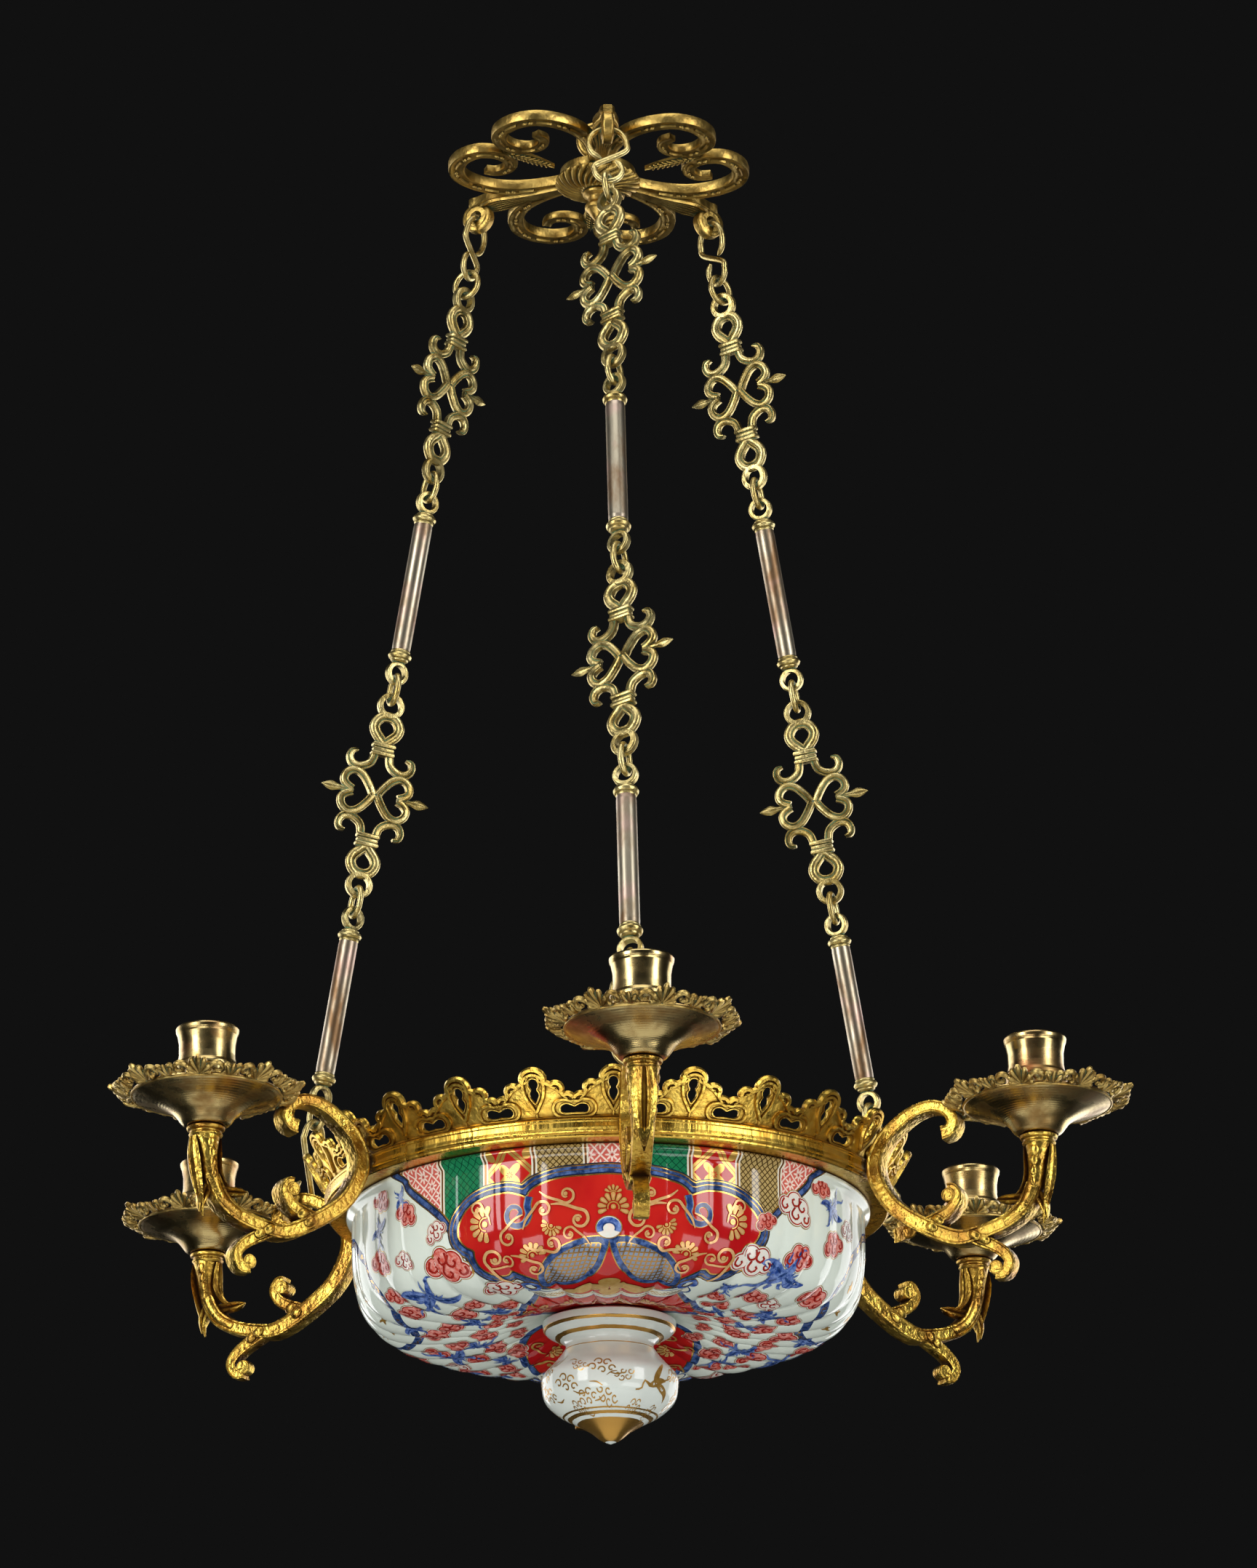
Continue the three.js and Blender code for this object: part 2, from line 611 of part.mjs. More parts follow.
// Outside profile of the bowl, from the wall under the lip to the middle of the bottom, as [radius, height]
function bowlProfile(radius, low, high, middle, steps) {
  const points = [];
  const squareness = 2 / 3.6;
  const floor = radius * 0.6;
  for (let i = 0; i <= steps; i += 1) {
    const turn = (i / steps) * (Math.PI / 2);
    const r = floor + (radius - floor) * Math.max(Math.cos(turn), 0) ** squareness;
    points.push([r, high - (high - low) * Math.sin(turn) ** squareness]);
  }
  points.push([radius * 0.38, low + (middle - low) * 0.6]);
  points.push([finialFlange + 2, middle]);
  points.push([boltDiameter / 2 + seatGap, middle]);
  return points;
}

// Porcelain bowl with an everted lip, open at the top, bored for the tie bolt
function bowl() {
  const wallTop = lipTop - lipThickness * 2.4;
  const middle = bowlLow + bowlRise;
  const outer = bowlProfile(bowlRadius, bowlLow, wallTop, middle, 5);
  const inner = bowlProfile(bowlRadius - bowlWall, bowlLow + bowlWall, wallTop, middle + bowlWall, 3);
  const lip = [
    [bowlRadius - bowlWall, lipTop],
    [lipRadius, lipTop],
    [lipRadius, lipTop - lipThickness * 0.6],
    [bowlRadius - 2, lipTop - lipThickness * 1.5],
  ];
  return turnedRing([...lip, ...outer, ...inner.reverse()], bowlSides);
}

// Porcelain finial under the bowl, bored from above for the tie bolt
function finial() {
  const z = (share) => finialTop - finialHeight * share;
  const bore = boltDiameter / 2 + seatGap;
  return turned([
    [0, z(boltEngagement)],
    [bore, z(boltEngagement)],
    [bore, finialTop],
    [finialFlange * 0.86, finialTop],
    [finialFlange, z(0.03)],
    [finialFlange * 0.93, z(0.12)],
    [finialNeck, z(0.22)],
    [bulbRadius * 0.83, z(0.37)],
    [bulbRadius, z(0.54)],
    [bulbRadius * 0.95, z(0.66)],
    [bulbRadius * 0.52, z(0.83)],
    [bulbRadius * 0.16, z(0.965)],
    [0, z(1)],
  ], 20);
}

// Tie bolt: from inside the finial, up through the bowl, to a washer and nut on the cross bars' boss
function tieBolt() {
  const seat = bossTop + seatGap;
  const nutSeat = seat + washerThickness;
  const end = finialTop - finialHeight * boltEngagement + seatGap;
  const top = nutSeat + nutHeight + boltTail;
  const shaft = cylinder(boltDiameter / 2, end, top, slimSides);
  const washer = cylinder(washerRadius, seat, nutSeat + bite / 4, slimSides);
  const nut = cylinder(nutRadius, nutSeat, nutSeat + nutHeight, 6);
  return geometryOf(join([shaft, washer, nut].map(solid)));
}

// Arm: neck, tapering stem, strap scroll against the rim band, inner curl, hanging scroll and leaves
function arm() {
  const drawn = { back: 158, scrollEnd: 207.2, radius: 250, scroll: 30.5, band: 57.5 };
  const fit = (z, low, high, newLow, newHigh) => newLow + ((z - low) / (high - low)) * (newHigh - newLow);
  const rise = (z) => {
    if (z > -drawn.band) return fit(z, -drawn.band, -drawn.scroll, -bandMiddle, -scrollDrop);
    return z + drawn.band - bandMiddle;
  };
  const across = (r) => {
    if (r < drawn.scrollEnd) return fit(r, drawn.back, drawn.scrollEnd, armBack, scrollEnd);
    return fit(r, drawn.scrollEnd, drawn.radius, scrollEnd, armRadius);
  };
  const shift = (points) => points.map(([r, z]) => [across(r), cupMouth + rise(z)]);
  const neckTop = cupMouth - neckDrop - neckRing + bite;
  const neckEnd = shift([[247.6, -80], [241.5, -91], [231, -98]]);
  const neck = [[armRadius + bite / 2, neckTop], [armRadius, neckTop - 2 * neckRing], ...neckEnd];
  const strap = shift([[247.6, -80], [241.5, -91], [231, -98], [215, -102.2], [203, -102.6], [187, -95],
    [170, -83], [161, -70], [158, -57.5], [162.5, -46], [171.4, -37.5], [181.5, -31.8], [192, -30.5],
    [200.5, -34.2], [203.2, -40.5], [198.6, -42.2]]);
  const inner = shift([[188, -93], [199.4, -88.3], [204.6, -81.5], [202.4, -76], [198.5, -77.4]]);
  const hanging = shift([[214, -103], [226.5, -112.8], [232.2, -121], [229.4, -127.6], [223.4, -128], [222.2, -124.5]]);
  const thorn = shift([[247, -82], [251.5, -92], [252.6, -98.5]]);
  const spur = shift([[241, -86], [233, -85.4], [226, -84.4]]);
  const b = backHalf;
  const t = scrollHalf;
  const strapHalf = [4.6, 4.2, 4, 3.9, 4.2, b, b, b, b, 4.1, 3.8, t + 0.2, t, t, 3.6, 4];
  const parts = [
    casting(ribbon(neck, [8.2, 6.2, 5.2, 4.6, 4], 4), neckWidth),
    casting(ribbon(strap, strapHalf, 19), strapWidth),
    casting(ribbon(inner, [3.4, 3.2, 3, 3, 3.6], 5), strapWidth),
    casting(ribbon(hanging, [3.8, 3.2, 3, 2.9, 3, 3.4], 6), hangWidth),
    casting(ribbon(thorn, [3, 2.4, 0.5], 2), hangWidth),
    casting(ribbon(spur, [2.8, 2.2, 0.5], 2), hangWidth),
  ];
  parts.forEach((part) => part.rotateX(Math.PI / 2).rotateZ(-Math.PI / 2));
  const collarTop = cupMouth - neckDrop;
  const ring = cylinder(neckDiameter / 2, collarTop - neckRing, collarTop, slimSides);
  ring.translate(0, -armRadius, 0);
  return geometryOf(join([...parts, ring].map(solid)));
}

// Drip pan: a turned dish with a raised edge of palmettes, bored for the cup's spigot
function dripPan() {
  const low = cupMouth - neckDrop + seatGap;
  const top = low + panRise;
  const bore = spigotDiameter / 2 + seatGap;
  const r = panDisc / 2;
  const dish = turnedRing([
    [bore, low],
    [neckDiameter / 2, low],
    [r * 0.5, low + panRise * 0.6],
    [r, top],
    [r, top + panThickness],
    [cupBase / 2, panSeat],
    [bore, panSeat],
  ]);
  const step = Math.PI / panLeaves;
  const points = [];
  for (let i = 0; i < panLeaves * 2; i += 1) {
    const reach = i % 2 === 0 ? panTips / 2 : r + (panTips / 2 - r) * panValley;
    for (const turn of [(i - 0.16) * step, (i + 0.16) * step]) {
      points.push([reach * Math.cos(turn), reach * Math.sin(turn)]);
    }
  }
  const edge = outline(points);
  edge.holes.push(new THREE.Path(disc(0, 0, r - bite, 0, turnedSides).getPoints()));
  const leaves = casting(edge, panThickness).rotateZ(step).translate(0, 0, top + panThickness / 2);
  return geometryOf(join([dish, leaves].map(solid)));
}

// Candle cup: waisted socket with a flared lip, its spigot passing through the pan
function candleCup() {
  const floor = cupMouth - cupHeight;
  const lip = cupLip / 2;
  const z = (share) => floor + cupHeight * share;
  return turned([
    [0, cupMouth - neckDrop + 2 * seatGap],
    [spigotDiameter / 2, cupMouth - neckDrop + 2 * seatGap],
    [spigotDiameter / 2, floor],
    [cupBase / 2 + 1, floor],
    [lip + 0.6, z(0.14)],
    [lip + 0.6, z(0.26)],
    [lip - 1.5, z(0.38)],
    [lip - 1.5, z(0.66)],
    [lip, cupMouth],
    [cupBore / 2, cupMouth],
    [cupBore / 2, floor + cupFloor],
    [0, floor + cupFloor],
  ], slimSides);
}

// The chandelier
const chandelier = new THREE.Group();
chandelier.add(piece('suspension_eye', suspensionEye(), gilt));
chandelier.add(piece('ceiling_plate', ceilingPlate(), gilt));
chandelier.add(piece('rosette', rosette(), gilt));
chandelier.add(piece('plate_knob', plateKnob(), gilt));
const chains = [
  { side: 'front', turns: [-42, -41, -36, -20] },
  { side: 'right', turns: [25, 35, 44, 26] },
  { side: 'left', turns: [-15, -30, -46, -24] },
];
chains.forEach(({ side, turns }, i) => chandelier.add(chain(side, (i * 360) / chains.length, turns)));
chandelier.add(piece('rim_band', rimBand(), gilt));
chandelier.add(piece('gallery', gallery(), gilt));
chandelier.add(piece('bowl', bowl(), porcelain));
chandelier.add(piece('porcelain_finial', finial(), porcelain));
chandelier.add(piece('tie_bolt', tieBolt(), steel));

const armGeometry = arm();
const panGeometry = dripPan().translate(0, -armRadius, 0);
const cupGeometry = candleCup().translate(0, -armRadius, 0);
const armCount = chains.length * armsPerChain;
for (let i = 0; i < armCount; i += 1) {
  const light = new THREE.Group();
  light.rotation.z = (i * 2 * Math.PI) / armCount;
  light.add(piece(`arm_${i + 1}`, armGeometry, gilt));
  light.add(piece(`drip_pan_${i + 1}`, panGeometry, brass));
  light.add(piece(`candle_cup_${i + 1}`, cupGeometry, brass));
  chandelier.add(light);
}

export default chandelier;
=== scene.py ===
"""Six-light gilt bronze and porcelain bowl chandelier: its looks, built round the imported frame."""

import json
import logging
from collections.abc import Callable, Iterable, Sequence
from dataclasses import dataclass, field
from enum import Enum
from math import atan2, cos, degrees, hypot, pi, radians, sin, sqrt, tan, tau

import bmesh
import bpy
import numpy as np
from mathutils import Matrix, Vector
from mathutils.kdtree import KDTree

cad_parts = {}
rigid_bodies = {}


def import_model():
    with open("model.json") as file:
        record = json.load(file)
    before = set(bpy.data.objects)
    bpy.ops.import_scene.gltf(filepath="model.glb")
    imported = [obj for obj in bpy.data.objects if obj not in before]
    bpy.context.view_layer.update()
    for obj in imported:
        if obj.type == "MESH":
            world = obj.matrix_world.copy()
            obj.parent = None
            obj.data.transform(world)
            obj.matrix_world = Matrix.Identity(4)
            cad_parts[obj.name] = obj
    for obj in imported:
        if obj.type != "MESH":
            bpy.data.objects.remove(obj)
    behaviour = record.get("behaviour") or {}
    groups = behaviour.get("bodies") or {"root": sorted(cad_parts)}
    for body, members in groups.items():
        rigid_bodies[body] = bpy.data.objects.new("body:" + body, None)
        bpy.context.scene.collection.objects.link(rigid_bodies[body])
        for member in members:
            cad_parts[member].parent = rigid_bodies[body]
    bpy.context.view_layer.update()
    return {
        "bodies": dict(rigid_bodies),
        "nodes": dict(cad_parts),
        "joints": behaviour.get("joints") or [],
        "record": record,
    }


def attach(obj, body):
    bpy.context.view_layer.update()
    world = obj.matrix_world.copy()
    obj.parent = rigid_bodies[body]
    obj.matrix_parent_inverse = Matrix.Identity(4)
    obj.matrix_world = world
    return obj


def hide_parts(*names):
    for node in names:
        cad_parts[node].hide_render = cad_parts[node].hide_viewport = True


MM = 0.001
X, Y, Z = Vector((1, 0, 0)), Vector((0, 1, 0)), Vector((0, 0, 1))
LOG = logging.getLogger("chandelier")
# Points of a mesh closer than this, in millimetres, are one.
WELD = 0.003

Points = Sequence[Sequence[float]]
Mesh = bmesh.types.BMesh
BMVert = bmesh.types.BMVert
Shape, Material = bpy.types.Mesh, bpy.types.Material
Tree, Node, Socket = bpy.types.NodeTree, bpy.types.Node, bpy.types.NodeSocket


class Slot(Enum):
    """The record's material slots."""

    GILT = "gilt_bronze"
    CHAIN = "chain_brass"
    TURNED = "turned_brass"
    PORCELAIN = "porcelain"


class Hand(Enum):
    """Which way a mirrored detail faces."""

    RIGHT = 1
    LEFT = -1


# ---------------------------------------------------------------- drawing tools


def linear(colour: str) -> tuple[float, float, float, float]:
    """An sRGB hex colour as linear values with full alpha."""
    parts = [int(colour[i : i + 2], 16) / 255 for i in (1, 3, 5)]
    return (*[c / 12.92 if c <= 0.04045 else ((c + 0.055) / 1.055) ** 2.4 for c in parts], 1.0)


def flow(points: Points, steps: int, closed: bool = False) -> np.ndarray:
    """Evenly spaced rows on a smooth curve through the given rows.

    Args:
        points: rows of numbers, the first two a place and the rest values that ride along.
        steps: spaces between the rows that come back.
        closed: whether the curve runs back to its start.

    Returns:
        The rows, one more than steps unless the curve is closed.
    """
    rows = np.array(points, dtype=float)
    count = len(rows)
    if closed:
        padded = np.vstack([rows[-1], rows, rows[0], rows[1]])
    else:
        padded = np.vstack([2 * rows[0] - rows[1], rows, 2 * rows[-1] - rows[-2]])
    fine = []
    for i in range(count if closed else count - 1):
        a, b, c, d = padded[i : i + 4]
        for t in np.linspace(0, 1, 14, endpoint=False):
            fine.append(
                0.5 * (2 * b + (c - a) * t + (2 * a - 5 * b + 4 * c - d) * t**2 + (3 * b - a - 3 * c + d) * t**3)
            )
    fine.append(rows[0] if closed else rows[-1])
    fine = np.array(fine)
    run = np.linalg.norm(np.diff(fine[:, :2], axis=0), axis=1)
    length = np.concatenate([[0.0], np.cumsum(run)])
    at = np.linspace(0, length[-1], steps + 1)
    out = np.column_stack([np.interp(at, length, fine[:, k]) for k in range(fine.shape[1])])
    return out[:-1] if closed else out


def round_section(sides: int) -> list[tuple[float, float]]:
    """A unit circle as a section."""
    return [(cos(tau * i / sides), sin(tau * i / sides)) for i in range(sides)]


def both_faces(half: Points) -> list[tuple[float, float]]:
    """A section from its upper half, given from one edge to the other, mirrored below."""
    return [(x, y) for x, y in half] + [(x, -y) for x, y in reversed(list(half))]


WIRE = round_section(12)
STRAP = [(-1, -0.8), (-0.86, -1), (0.86, -1), (1, -0.8), (1, 0.8), (0.86, 1), (-0.86, 1), (-1, 0.8)]
CHANNEL = both_faces([
    (-1, 0.55), (-0.93, 0.95), (-0.72, 1), (-0.55, 0.86), (0.55, 0.86), (0.72, 1), (0.93, 0.95), (1, 0.55)])
RIDGES = both_faces([
    (-1, 0.3), (-0.88, 0.8), (-0.55, 1), (-0.2, 0.72), (0, 0.42), (0.2, 0.72), (0.55, 1), (0.88, 0.8), (1, 0.3)])
BAND = both_faces([
    (-1, 0.25), (-0.92, 0.68), (-0.78, 0.8), (-0.62, 0.68), (-0.48, 0.34), (-0.3, 0.68), (0.1, 1), (0.5, 0.98),
    (0.86, 0.7), (1, 0.25)])
LEAF = [
    (-1, 0.1), (-0.72, 0.42), (-0.5, 0.2), (-0.32, 0.62), (-0.13, 0.34), (0, 1), (0.13, 0.34), (0.32, 0.62),
    (0.5, 0.2), (0.72, 0.42), (1, 0.1), (0.6, -0.5), (0, -0.7), (-0.6, -0.5)]


def sweep(bm: Mesh, rows: np.ndarray, section: Points, up: Vector, closed: bool = False) -> None:
    """Draws a section along a path and closes its ends.

    Args:
        bm: the mesh that it is added to.
        rows: x, y, z, half width and half height at each point of the path.
        section: corners across the path, in shares of the half width and half height.
        up: the direction of the section's height.
        closed: whether the path is a loop.
    """
    places = [Vector(row[:3]) for row in rows]
    frames = []
    for i, (place, row) in enumerate(zip(places, rows)):
        before = places[i - 1] if i or closed else place
        after = places[(i + 1) % len(places)] if closed or i + 1 < len(places) else place
        along = (after - before).normalized()
        side = along.cross(up).normalized()
        high = side.cross(along)
        columns = [(side * row[3]).to_4d(), (high * row[4]).to_4d(), along.to_4d(), place.to_4d()]
        for column in columns[:3]:
            column.w = 0
        frames.append(Matrix(columns).transposed())
    verts = [bm.verts.new(frames[0] @ Vector((x, y, 0))) for x, y in section]
    edges = [bm.edges.new((verts[i - 1], verts[i])) for i in range(len(verts))]
    first = edges
    for last, here in zip(frames, frames[1:]):
        made = bmesh.ops.extrude_edge_only(bm, edges=edges)["geom"]
        fresh = [part for part in made if isinstance(part, BMVert)]
        known = set(fresh)
        edges = [part for part in made if isinstance(part, bmesh.types.BMEdge) and known.issuperset(part.verts)]
        bmesh.ops.transform(bm, matrix=here @ last.inverted(), verts=fresh)
    if closed:
        bmesh.ops.bridge_loops(bm, edges=first + edges)
    else:
        bmesh.ops.edgeloop_fill(bm, edges=first)
        bmesh.ops.edgeloop_fill(bm, edges=edges)


def planar(points: Points, steps: int, place: Callable[[float, float], Vector], closed: bool = False) -> np.ndarray:
    """Sweep rows for a path drawn flat.

    Args:
        points: rows of x, y, half width and half height.
        steps: how many steps the path is drawn in.
        place: turns a flat x, y into a point.
        closed: whether the path is a loop.

    Returns:
        Rows of x, y, z, half width and half height.
    """
    rows = flow(points, steps, closed)
    return np.array([[*place(x, y), w, h] for x, y, w, h in rows])


def turn_profile(bm: Mesh, profile: Points, steps: int = 96, axis: Vector = Z, centre: Vector = Vector(),
                 start: float = 0.0) -> None:
    """Turns a profile of radius and height about an axis and merges its seam and poles.

    Args:
        bm: the mesh that it is added to.
        profile: radius and height of each corner.
        steps: faces round the axis.
        axis: the direction of the axis.
        centre: a point on the axis, where the height is 0.
        start: the angle in radians that the first face starts at.
    """
    stood = Matrix.Translation(centre) @ Z.rotation_difference(axis).to_matrix().to_4x4()
    place = stood @ Matrix.Rotation(start, 4, "Z")
    verts = [bm.verts.new(place @ Vector((r, 0, z))) for r, z in profile]
    edges = [bm.edges.new(pair) for pair in zip(verts, verts[1:])]
    bmesh.ops.spin(bm, geom=verts + edges, cent=centre, axis=axis, dvec=(0, 0, 0), angle=tau, steps=steps,
                   use_merge=True, use_normal_flip=False, use_duplicate=False)


def fillet(points: Points, steps: int = 4) -> list[tuple[float, float]]:
    """A profile with its corners rounded.

    Args:
        points: radius, height and rounding of each corner.
        steps: how many steps each rounding takes.

    Returns:
        The profile's points.
    """
    out: list[tuple[float, float]] = []
    for i, (r, z, rounding) in enumerate(points):
        here = Vector((r, z))
        if rounding <= 0 or i in (0, len(points) - 1):
            out.append((r, z))
            continue
        before, after = Vector(points[i - 1][:2]) - here, Vector(points[i + 1][:2]) - here
        angle = before.angle(after)
        reach = min(rounding / tan(angle / 2), 0.499 * before.length, 0.499 * after.length)
        start, end = here + before.normalized() * reach, here + after.normalized() * reach
        for k in range(steps + 1):
            t = k / steps
            at = start * (1 - t) ** 2 + here * 2 * t * (1 - t) + end * t**2
            out.append((at.x, at.y))
    return out


def bead(bm: Mesh, at: Vector, size: Sequence[float], turn: Matrix | None = None, sides: int = 12) -> None:
    """A round or oval bead.

    Args:
        bm: the mesh that it is added to.
        at: its centre.
        size: its three half lengths.
        turn: how it is turned.
        sides: its faces round.
    """
    matrix = Matrix.Translation(at) @ (turn or Matrix()) @ Matrix.Diagonal((*size, 1))
    bmesh.ops.create_uvsphere(bm, u_segments=sides, v_segments=sides // 2 + 1, radius=1, matrix=matrix)


def block(bm: Mesh, at: Vector, size: Sequence[float], turn: Matrix | None = None, bevel: float = 0.5) -> None:
    """A cast bar with eased edges.

    Args:
        bm: the mesh that it is added to.
        at: its centre.
        size: its three lengths.
        turn: how it is turned.
        bevel: the width of its eased edges.
    """
    matrix = Matrix.Translation(at) @ (turn or Matrix()) @ Matrix.Diagonal((*size, 1))
    made = bmesh.ops.create_cube(bm, size=1, matrix=matrix)
    edges = list({edge for vert in made["verts"] for edge in vert.link_edges})
    bmesh.ops.bevel(bm, geom=edges, offset=bevel, offset_type="OFFSET", segments=2, profile=0.5, affect="EDGES",
                    material=-1)


def eyelet(bm: Mesh, half: Points, centre: Vector) -> None:
    """A pierced eye that faces along y, its section given by radius, height and rounding down to its middle."""
    section = [*half, *((r, -z, rounding) for r, z, rounding in reversed(half)), half[0]]
    turn_profile(bm, fillet(section), 40, Y, centre)


def mirrored(right: Points) -> list[tuple[float, float]]:
    """A closed outline from its right half, whose two ends lie on the middle line."""
    return [*right, *((-x, y) for x, y in reversed(right[1:-1]))]


def drum(bm: Mesh, at: Vector, axis: Vector, radius: float, length: float) -> None:
    """A rolled scroll end: a short drum with slightly sunk faces."""
    half = length / 2
    profile = fillet([(0, half - 0.4, 0), (radius * 0.7, half - 0.3, 0.4), (radius * 0.86, half, 0.4),
                      (radius, half - 0.9, 0.8), (radius, -half + 0.9, 0.8), (radius * 0.86, -half, 0.4),
                      (radius * 0.7, -half + 0.3, 0.4), (0, -half + 0.4, 0)], 3)
    turn_profile(bm, profile, 28, axis, at)


def add_mesh(bm: Mesh, other: Shape, matrix: Matrix) -> None:
    """Adds a copy of a mesh, moved by a matrix."""
    copy = other.copy()
    copy.transform(matrix)
    bm.from_mesh(copy)
    bpy.data.meshes.remove(copy)


def shape(bm: Mesh) -> Shape:
    """A bmesh as plain mesh data, with its doubles merged and its faces pointing out, and the bmesh freed."""
    bmesh.ops.remove_doubles(bm, verts=bm.verts, dist=WELD)
    bmesh.ops.recalc_face_normals(bm, faces=bm.faces)
    mesh = bpy.data.meshes.new("shape")
    bm.to_mesh(mesh)
    bm.free()
    return mesh


# ---------------------------------------------------------------- finishes


def plug(tree: Tree, node: Node, inputs: dict) -> None:
    """Fills a node's inputs.

    Args:
        tree: the tree that the node is in.
        node: the node.
        inputs: what each input holds or is linked from; a node stands for its first output, a hex for its colour.
    """
    for key, value in inputs.items():
        if isinstance(value, Node):
            value = value.outputs[0]
        if isinstance(value, Socket):
            tree.links.new(value, node.inputs[key])
        else:
            node.inputs[key].default_value = linear(value) if isinstance(value, str) else value


def add(tree: Tree, kind: str, inputs: dict | None = None, **settings: object) -> Node:
    """Adds a shader node.

    Args:
        tree: the tree that it goes into.
        kind: the node's type name, after the word ShaderNode.
        inputs: what its inputs hold, as for plug.
        settings: the node's own settings.

    Returns:
        The node.
    """
    node = tree.nodes.new(f"ShaderNode{kind}")
    for name, value in settings.items():
        setattr(node, name, value)
    plug(tree, node, inputs or {})
    return node


def start_material(name: str) -> tuple[Material, Tree, Node, Socket]:
    """A new material, its tree, its shader and the object's coordinates, which every pattern stands on."""
    material = bpy.data.materials.new(name)
    material.use_nodes = True
    tree = material.node_tree
    return material, tree, tree.nodes["Principled BSDF"], add(tree, "TexCoord").outputs["Object"]


@dataclass(frozen=True)
class CastMetal:
    """A cast, chased and burnished copper alloy.

    The eye sees a bright burnished skin with faint mottling, brown patina and painted shade where the chasing tools
    left hollows, and in old brass a little verdigris deep in the crevices.
    """

    name: str
    light: str = "#f0cf63"
    warm: str = "#cf9f3b"
    # The brown of the patina and of the painted shade in the hollows.
    hollow_shade: str = "#744d18"
    crevice: str = "#3c240d"
    shine: float = 0.25
    reach: float = 0.0035
    spread: float = 0.24
    streak: float = 1.0
    deep: float = 0.4
    hammer: float = 0.0005

    def material(self) -> Material:
        """The finish as a material."""
        material, tree, shader, place = start_material(self.name)
        # Mottling about 14 mm across, as old gilding has.
        mottle = add(tree, "TexNoise", {"Vector": place, "Scale": 1000 / 14, "Detail": 4, "Roughness": 0.6})
        tone = add(tree, "MapRange", {0: mottle, 1: 0.5 - self.spread, 2: 0.5 + self.spread})
        skin = add(tree, "Mix", {0: tone, 6: self.light, 7: self.warm}, data_type="RGBA")
        # Patina and painted shade: hollows within a few millimetres of other metal keep their patina, and are darkened
        # there as shade would darken them.
        near = add(tree, "AmbientOcclusion", {"Distance": self.reach}, samples=6)
        hollow_shade = add(tree, "MapRange", {0: near.outputs["AO"], 1: 0.86, 2: 0.38, 3: 0.0, 4: 1.0})
        speck = add(tree, "TexNoise", {"Vector": place, "Scale": 1000 / 2.4, "Detail": 3})
        speckled_patina_and_shade = add(tree, "Math", {0: hollow_shade, 1: speck}, operation="MULTIPLY")
        patina_and_shade = add(tree, "Math", {0: hollow_shade, 1: speckled_patina_and_shade}, operation="ADD")
        patina_and_shade.use_clamp = True
        # Patina and painted shade: the skin is mixed towards the brown hollow colour in the hollows.
        worn = add(tree, "Mix", {0: patina_and_shade, 6: skin.outputs[2], 7: self.hollow_shade}, data_type="RGBA")
        low = add(tree, "MapRange", {0: near.outputs["AO"], 1: self.deep, 2: self.deep - 0.3, 3: 0.0, 4: 1.0})
        # The crust in the crevices lies in patches 6 mm across and isn't metal.
        drawn = add(tree, "Mapping", {"Vector": place, "Scale": (1.0, 1.0, self.streak)})
        smear = add(tree, "TexNoise", {"Vector": drawn, "Scale": 1000 / 6, "Detail": 3})
        patchy = add(tree, "MapRange", {0: smear, 1: 0.38, 2: 0.58, 3: 0.25, 4: 1.0})
        deep = add(tree, "Math", {0: low, 1: patchy}, operation="MULTIPLY")
        full = add(tree, "Mix", {0: deep, 6: worn.outputs[2], 7: self.crevice}, data_type="RGBA")
        metal = add(tree, "Math", {0: deep, 1: -0.85, 2: 1.0}, operation="MULTIPLY_ADD")
        gloss = add(tree, "MapRange", {0: smear, 1: 0.3, 2: 0.7, 3: self.shine, 4: self.shine + 0.16})
        rough = add(tree, "Math", {0: patina_and_shade, 1: 0.25, 2: gloss}, operation="MULTIPLY_ADD")
        # Casting waves 3 mm across under a tooled grain of 0.6 mm.
        waves = add(tree, "TexNoise", {"Vector": drawn, "Scale": 1000 / 3, "Detail": 2})
        slow = add(tree, "Bump", {"Height": waves, "Distance": self.hammer, "Strength": 0.7})
        grain = add(tree, "TexNoise", {"Vector": place, "Scale": 1000 / 0.6, "Detail": 2})
        fine = add(tree, "Bump", {"Height": grain, "Distance": 0.00004, "Strength": 0.6, "Normal": slow})
        plug(tree, shader, {"Base Color": full.outputs[2], "Metallic": metal, "Roughness": rough, "Normal": fine})
        return material


